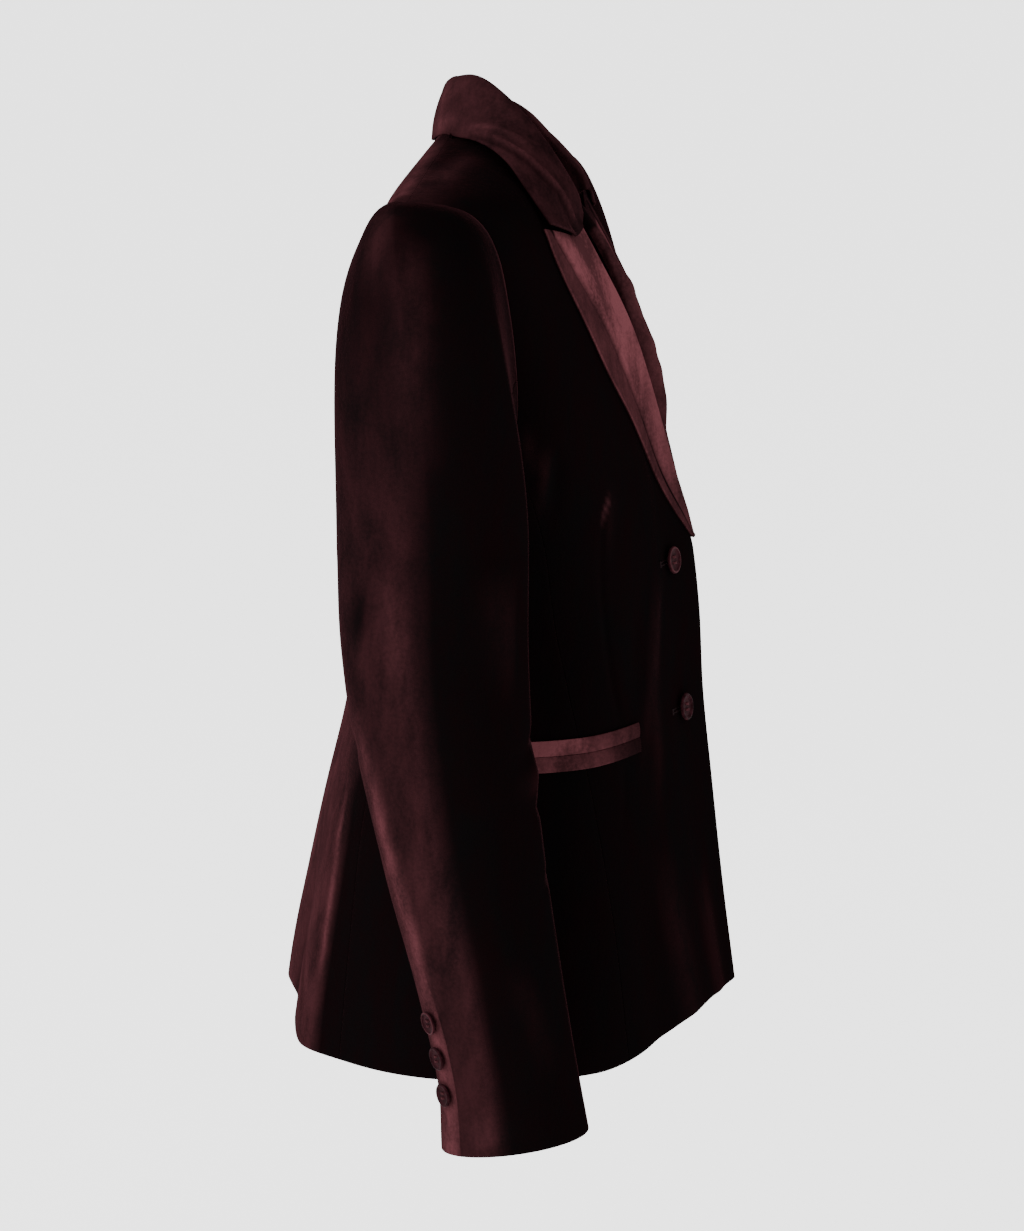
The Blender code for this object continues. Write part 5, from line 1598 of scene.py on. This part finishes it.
def add_button(node, radius, at, n):
    """A sewn button with its stitches, in place of its solid."""
    dye = bpy.context.scene.blazer_dye
    place = Vector(n).to_track_quat("Z", "Y").to_matrix().to_4x4()
    place.translation = Vector(at + n * BUTTON_CLEAR)
    size = "button_%d" % round(radius * 2000)
    mesh = bpy.data.meshes.get(size) or button_mesh(size, radius)
    mesh = mesh.copy()
    mesh.transform(place)
    mesh.materials.append(shared("button_horn", horn, rgba(dye.button), rgba(dye.button_light),
                                 rgba(dye.nap_up)))
    mesh.shade_smooth()
    button = bpy.data.objects.new("turned_" + node, mesh)
    bpy.context.collection.objects.link(button)
    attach(button, "root")
    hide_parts(node)
    verts, faces = button_threads(radius)
    # Real twist of the silk, with its lighter strands in the painted sheen colour as a painted highlight
    silk = shared("sewing_silk", thread, rgba(dye.button), rgba(dye.nap_up))
    stitches = add_piece("stitch_" + node, verts, faces, (silk,))
    stitches.data.transform(place)


def add_front_buttons():
    """The two buttons of the closing, on the right front."""
    for name, z in FRONT_BUTTONS.items():
        t = level(z)
        phi = angle_at(FRONT_BUTTON_X, t)
        at, n = form(RIGHT, phi, t), form_normals(RIGHT, phi, t)
        add_button("button_front_" + name, FRONT_BUTTON_RADIUS, at, n)


def add_cuff_buttons(word, side):
    """The three buttons beside the hindarm seam of one cuff."""
    knots = np.linspace(0.0, 1.0, len(SLEEVE))
    fine = np.linspace(0.0, 1.0, LEVEL_STEPS)
    for name, z in CUFF_BUTTONS.items():
        heights = ring_points(side, fine, CUFF_BUTTON_TURN)[:, 2]
        place = np.interp(-z, -heights, fine)
        at = ring_points(side, place, CUFF_BUTTON_TURN)
        around = ring_points(side, place, CUFF_BUTTON_TURN + SMALL_TURN) - at
        down = ring_points(side, place + SMALL_STEP, CUFF_BUTTON_TURN) - at
        n = unit(np.cross(around, down))
        middle = np.array([side * curve(place, knots, column(SLEEVE, "x")),
                           curve(place, knots, column(SLEEVE, "y")), at[2]])
        n = n * np.sign(np.dot(n, at - middle))
        add_button("button_cuff_" + word + "_" + name, CUFF_BUTTON_RADIUS, at - n * CUFF_BUTTON_IN, n)


def on_right_front(x, z):
    """Points and outward directions of the right front."""
    t = level(z)
    phi = angle_at(x, t)
    n = form_normals(RIGHT, phi, t)
    return creased(form(RIGHT, phi, t), n, body_lines(RIGHT, BODY_FOLDS))[0], n


def add_buttonholes():
    """Worked buttonholes behind the front buttons: purled edge and a bar at the outer end."""
    dye = bpy.context.scene.blazer_dye
    for name, z in FRONT_BUTTONS.items():
        turn = np.linspace(0.0, 2 * math.pi, BUTTONHOLE_STEPS, endpoint=False)
        middle = (BUTTONHOLE_FROM + BUTTONHOLE_TO) / 2
        reach = (BUTTONHOLE_TO - BUTTONHOLE_FROM) / 2
        x = middle + reach * powered(np.cos(turn), BUTTONHOLE_SQUARE)
        path, n = on_right_front(x, z + BUTTONHOLE_HALF * np.sin(turn))
        purl = BUTTONHOLE_THREAD * (1 + PURL_SWELL * np.sin(PURLS * turn))
        parts = [tube(path, purl, n, THREAD_SIDES, True)]
        f = np.linspace(-1.0, 1.0, BAR_STEPS)
        wide = np.full(BAR_STEPS, BUTTONHOLE_THREAD)
        for step in BAR_STITCHES:
            path, n = on_right_front(np.full(BAR_STEPS, BUTTONHOLE_TO + step), z + BAR_HALF * f)
            parts.append(tube(path + n * BUTTONHOLE_THREAD / 2, wide, n, THREAD_SIDES, False))
        silk = shared("buttonhole_silk", thread, rgba(dye.pile), rgba(dye.button))
        hole = add_piece("buttonhole_" + name, *joined(parts), (silk,))


def aimed(thing, at, target):
    """Puts a light or camera at a place, looking at a target."""
    thing.location = at
    thing.rotation_mode = "QUATERNION"
    thing.rotation_quaternion = (Vector(target) - Vector(at)).to_track_quat("-Z", "Y")
    bpy.context.collection.objects.link(thing)


def add_floor():
    """A wide pale floor under the garment."""
    sheet = bmesh.new()
    bmesh.ops.create_circle(sheet, cap_ends=True, segments=FLOOR_SIDES, radius=FLOOR_RADIUS)
    bmesh.ops.translate(sheet, verts=sheet.verts, vec=(0.0, 0.0, FLOOR_LEVEL))
    mesh = bpy.data.meshes.new("floor")
    sheet.to_mesh(mesh)
    sheet.free()
    look = Look("floor_paper")
    at = look.node("ShaderNodeTexCoord", {}, {}, "Object")
    tooth = look.noise(at, *FLOOR_TOOTH)
    look.feed(look.shader, {
        "Base Color": look.blend(tooth, rgba([FLOOR_PALE] * 3), rgba([FLOOR_PALER] * 3)),
        "Roughness": 0.85 + 0.1 * tooth,
        "Emission Color": (1.0, 1.0, 1.0, 1.0),
        "Emission Strength": FLOOR_GLOW,
    })
    mesh.materials.append(look.material)
    floor = bpy.data.objects.new("floor", mesh)
    bpy.context.collection.objects.link(floor)
    floor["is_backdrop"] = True


def add_lights():
    """Soft studio light: a white surround and large soft boxes."""
    world = bpy.data.worlds.new("studio")
    world.use_nodes = True
    surround = world.node_tree.nodes["Background"]
    surround.inputs["Color"].default_value = (1.0, 1.0, 1.0, 1.0)
    surround.inputs["Strength"].default_value = SURROUND
    bpy.context.scene.world = world
    for box in SOFT_BOXES:
        light = bpy.data.lights.new(box.name, "AREA")
        light.shape = "RECTANGLE"
        light.size = box.width
        light.size_y = box.height
        light.energy = box.power
        aimed(bpy.data.objects.new(box.name, light), box.at, VIEW_TARGET)


def add_camera():
    """The photograph's view: the wearer's right side, a little from the front and above."""
    lens = bpy.data.cameras.new("camera")
    lens.sensor_width = SENSOR
    lens.lens = FOCAL_LENGTH
    turn, rise = math.radians(VIEW_TURN), math.radians(VIEW_RISE)
    ahead = (math.sin(turn) * math.cos(rise), -math.cos(turn) * math.cos(rise), math.sin(rise))
    camera = bpy.data.objects.new("camera", lens)
    aimed(camera, Vector(VIEW_TARGET) + VIEW_DISTANCE * Vector(ahead), VIEW_TARGET)
    bpy.context.scene.camera = camera


class BlazerCut(bpy.types.PropertyGroup):
    """Sizes of the cloth."""
    cloth: FloatProperty(name="Cloth", description="Thickness of the velvet", default=WALL,
                         min=0.001, max=0.003, unit="LENGTH")
    crease_depth: FloatProperty(name="Creases", description="How deep the creases are pressed",
                                default=1.0, min=0.0, max=1.5, subtype="FACTOR")


def dye_of(name, description, default):
    """A colour that can be changed in the panel."""
    return FloatVectorProperty(name=name, description=description, subtype="COLOR", size=3,
                               min=0.0, max=1.0, default=default)


class BlazerDye(bpy.types.PropertyGroup):
    """Colours of cloth and buttons."""
    pile: dye_of("Pile", "Colour deep in the pile", (0.0029, 0.0022, 0.0024))
    nap: dye_of("Nap", "Colour of brushed patches", (0.0040, 0.0016, 0.0019))
    # Painted sheen colours: the cloth is lightened towards them where the attribute of painted light is
    # high
    nap_up: dye_of("Nap up", "Colour where the nap is turned up", (0.085, 0.026, 0.031))
    lapel_nap: dye_of("Lapel nap", "Colour of the brushed lapels", (0.130, 0.040, 0.047))
    reverse: dye_of("Reverse", "Colour of the woven reverse", (0.005, 0.002, 0.0023))
    reverse_light: dye_of("Reverse, raised", "Raised threads of the reverse", (0.018, 0.006, 0.007))
    sheen: dye_of("Sheen", "Colour of the sheen", (0.42, 0.13, 0.16))
    button: dye_of("Button", "Colour of the buttons", (0.008, 0.0022, 0.0030))
    button_light: dye_of("Button cloud", "Lighter clouds in the buttons", (0.022, 0.006, 0.008))


class BLAZER_OT_body(bpy.types.Operator):
    """Build fronts, side panels and backs"""
    bl_idname = "blazer.body"
    bl_label = "Body panels"

    def execute(self, context):
        for word, side in SIDES.items():
            add_body(word, side)
        return {"FINISHED"}


class BLAZER_OT_sleeves(bpy.types.Operator):
    """Build the two-piece sleeves"""
    bl_idname = "blazer.sleeves"
    bl_label = "Sleeves"

    def execute(self, context):
        for word, side in SIDES.items():
            add_sleeve(word, side)
        return {"FINISHED"}


class BLAZER_OT_lapels(bpy.types.Operator):
    """Build the peak lapels"""
    bl_idname = "blazer.lapels"
    bl_label = "Lapels"

    def execute(self, context):
        for word, side in SIDES.items():
            add_lapel(word, side)
        return {"FINISHED"}


class BLAZER_OT_collar(bpy.types.Operator):
    """Build the folded collar"""
    bl_idname = "blazer.collar"
    bl_label = "Collar"

    def execute(self, context):
        add_collar()
        return {"FINISHED"}


class BLAZER_OT_pockets(bpy.types.Operator):
    """Build the welts of both pockets"""
    bl_idname = "blazer.pockets"
    bl_label = "Pocket welts"

    def execute(self, context):
        for word, side in SIDES.items():
            add_welts(word, side)
        return {"FINISHED"}


class BLAZER_OT_buttons(bpy.types.Operator):
    """Build the front and cuff buttons with their stitches"""
    bl_idname = "blazer.buttons"
    bl_label = "Buttons"

    def execute(self, context):
        add_front_buttons()
        for word, side in SIDES.items():
            add_cuff_buttons(word, side)
        return {"FINISHED"}


class BLAZER_OT_buttonholes(bpy.types.Operator):
    """Build the worked buttonholes"""
    bl_idname = "blazer.buttonholes"
    bl_label = "Buttonholes"

    def execute(self, context):
        add_buttonholes()
        return {"FINISHED"}


class BLAZER_OT_stage(bpy.types.Operator):
    """Set up floor, light and camera"""
    bl_idname = "blazer.stage"
    bl_label = "Stage"

    def execute(self, context):
        add_floor()
        add_lights()
        add_camera()
        return {"FINISHED"}


OPERATORS = (
    BLAZER_OT_stage,
    BLAZER_OT_body,
    BLAZER_OT_sleeves,
    BLAZER_OT_lapels,
    BLAZER_OT_collar,
    BLAZER_OT_pockets,
    BLAZER_OT_buttons,
    BLAZER_OT_buttonholes,
)


class BLAZER_PT_pieces(bpy.types.Panel):
    """Sizes, colours and pieces of the blazer"""
    bl_idname = "BLAZER_PT_pieces"
    bl_label = "Blazer"
    bl_space_type = "VIEW_3D"
    bl_region_type = "UI"
    bl_category = "Blazer"

    def draw(self, context):
        for group in (context.scene.blazer_cut, context.scene.blazer_dye):
            for name in group.__annotations__:
                self.layout.prop(group, name)
        for operator in OPERATORS:
            self.layout.operator(operator.bl_idname)


CLASSES = (BlazerCut, BlazerDye) + OPERATORS + (BLAZER_PT_pieces,)


def register():
    for made in CLASSES:
        bpy.utils.register_class(made)
    bpy.types.Scene.blazer_cut = PointerProperty(type=BlazerCut)
    bpy.types.Scene.blazer_dye = PointerProperty(type=BlazerDye)


def unregister():
    del bpy.types.Scene.blazer_dye
    del bpy.types.Scene.blazer_cut
    for made in reversed(CLASSES):
        bpy.utils.unregister_class(made)


def main():
    register()
    bpy.ops.blazer.stage()
    bpy.ops.blazer.body()
    bpy.ops.blazer.sleeves()
    bpy.ops.blazer.lapels()
    bpy.ops.blazer.collar()
    bpy.ops.blazer.pockets()
    bpy.ops.blazer.buttons()
    bpy.ops.blazer.buttonholes()
    boxes = {"cad": CAD_BOX, "visual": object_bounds()}
    plain = {name: [[float(v) for v in corner] for corner in box] for name, box in boxes.items()}


if __name__ == "__main__":
    main()
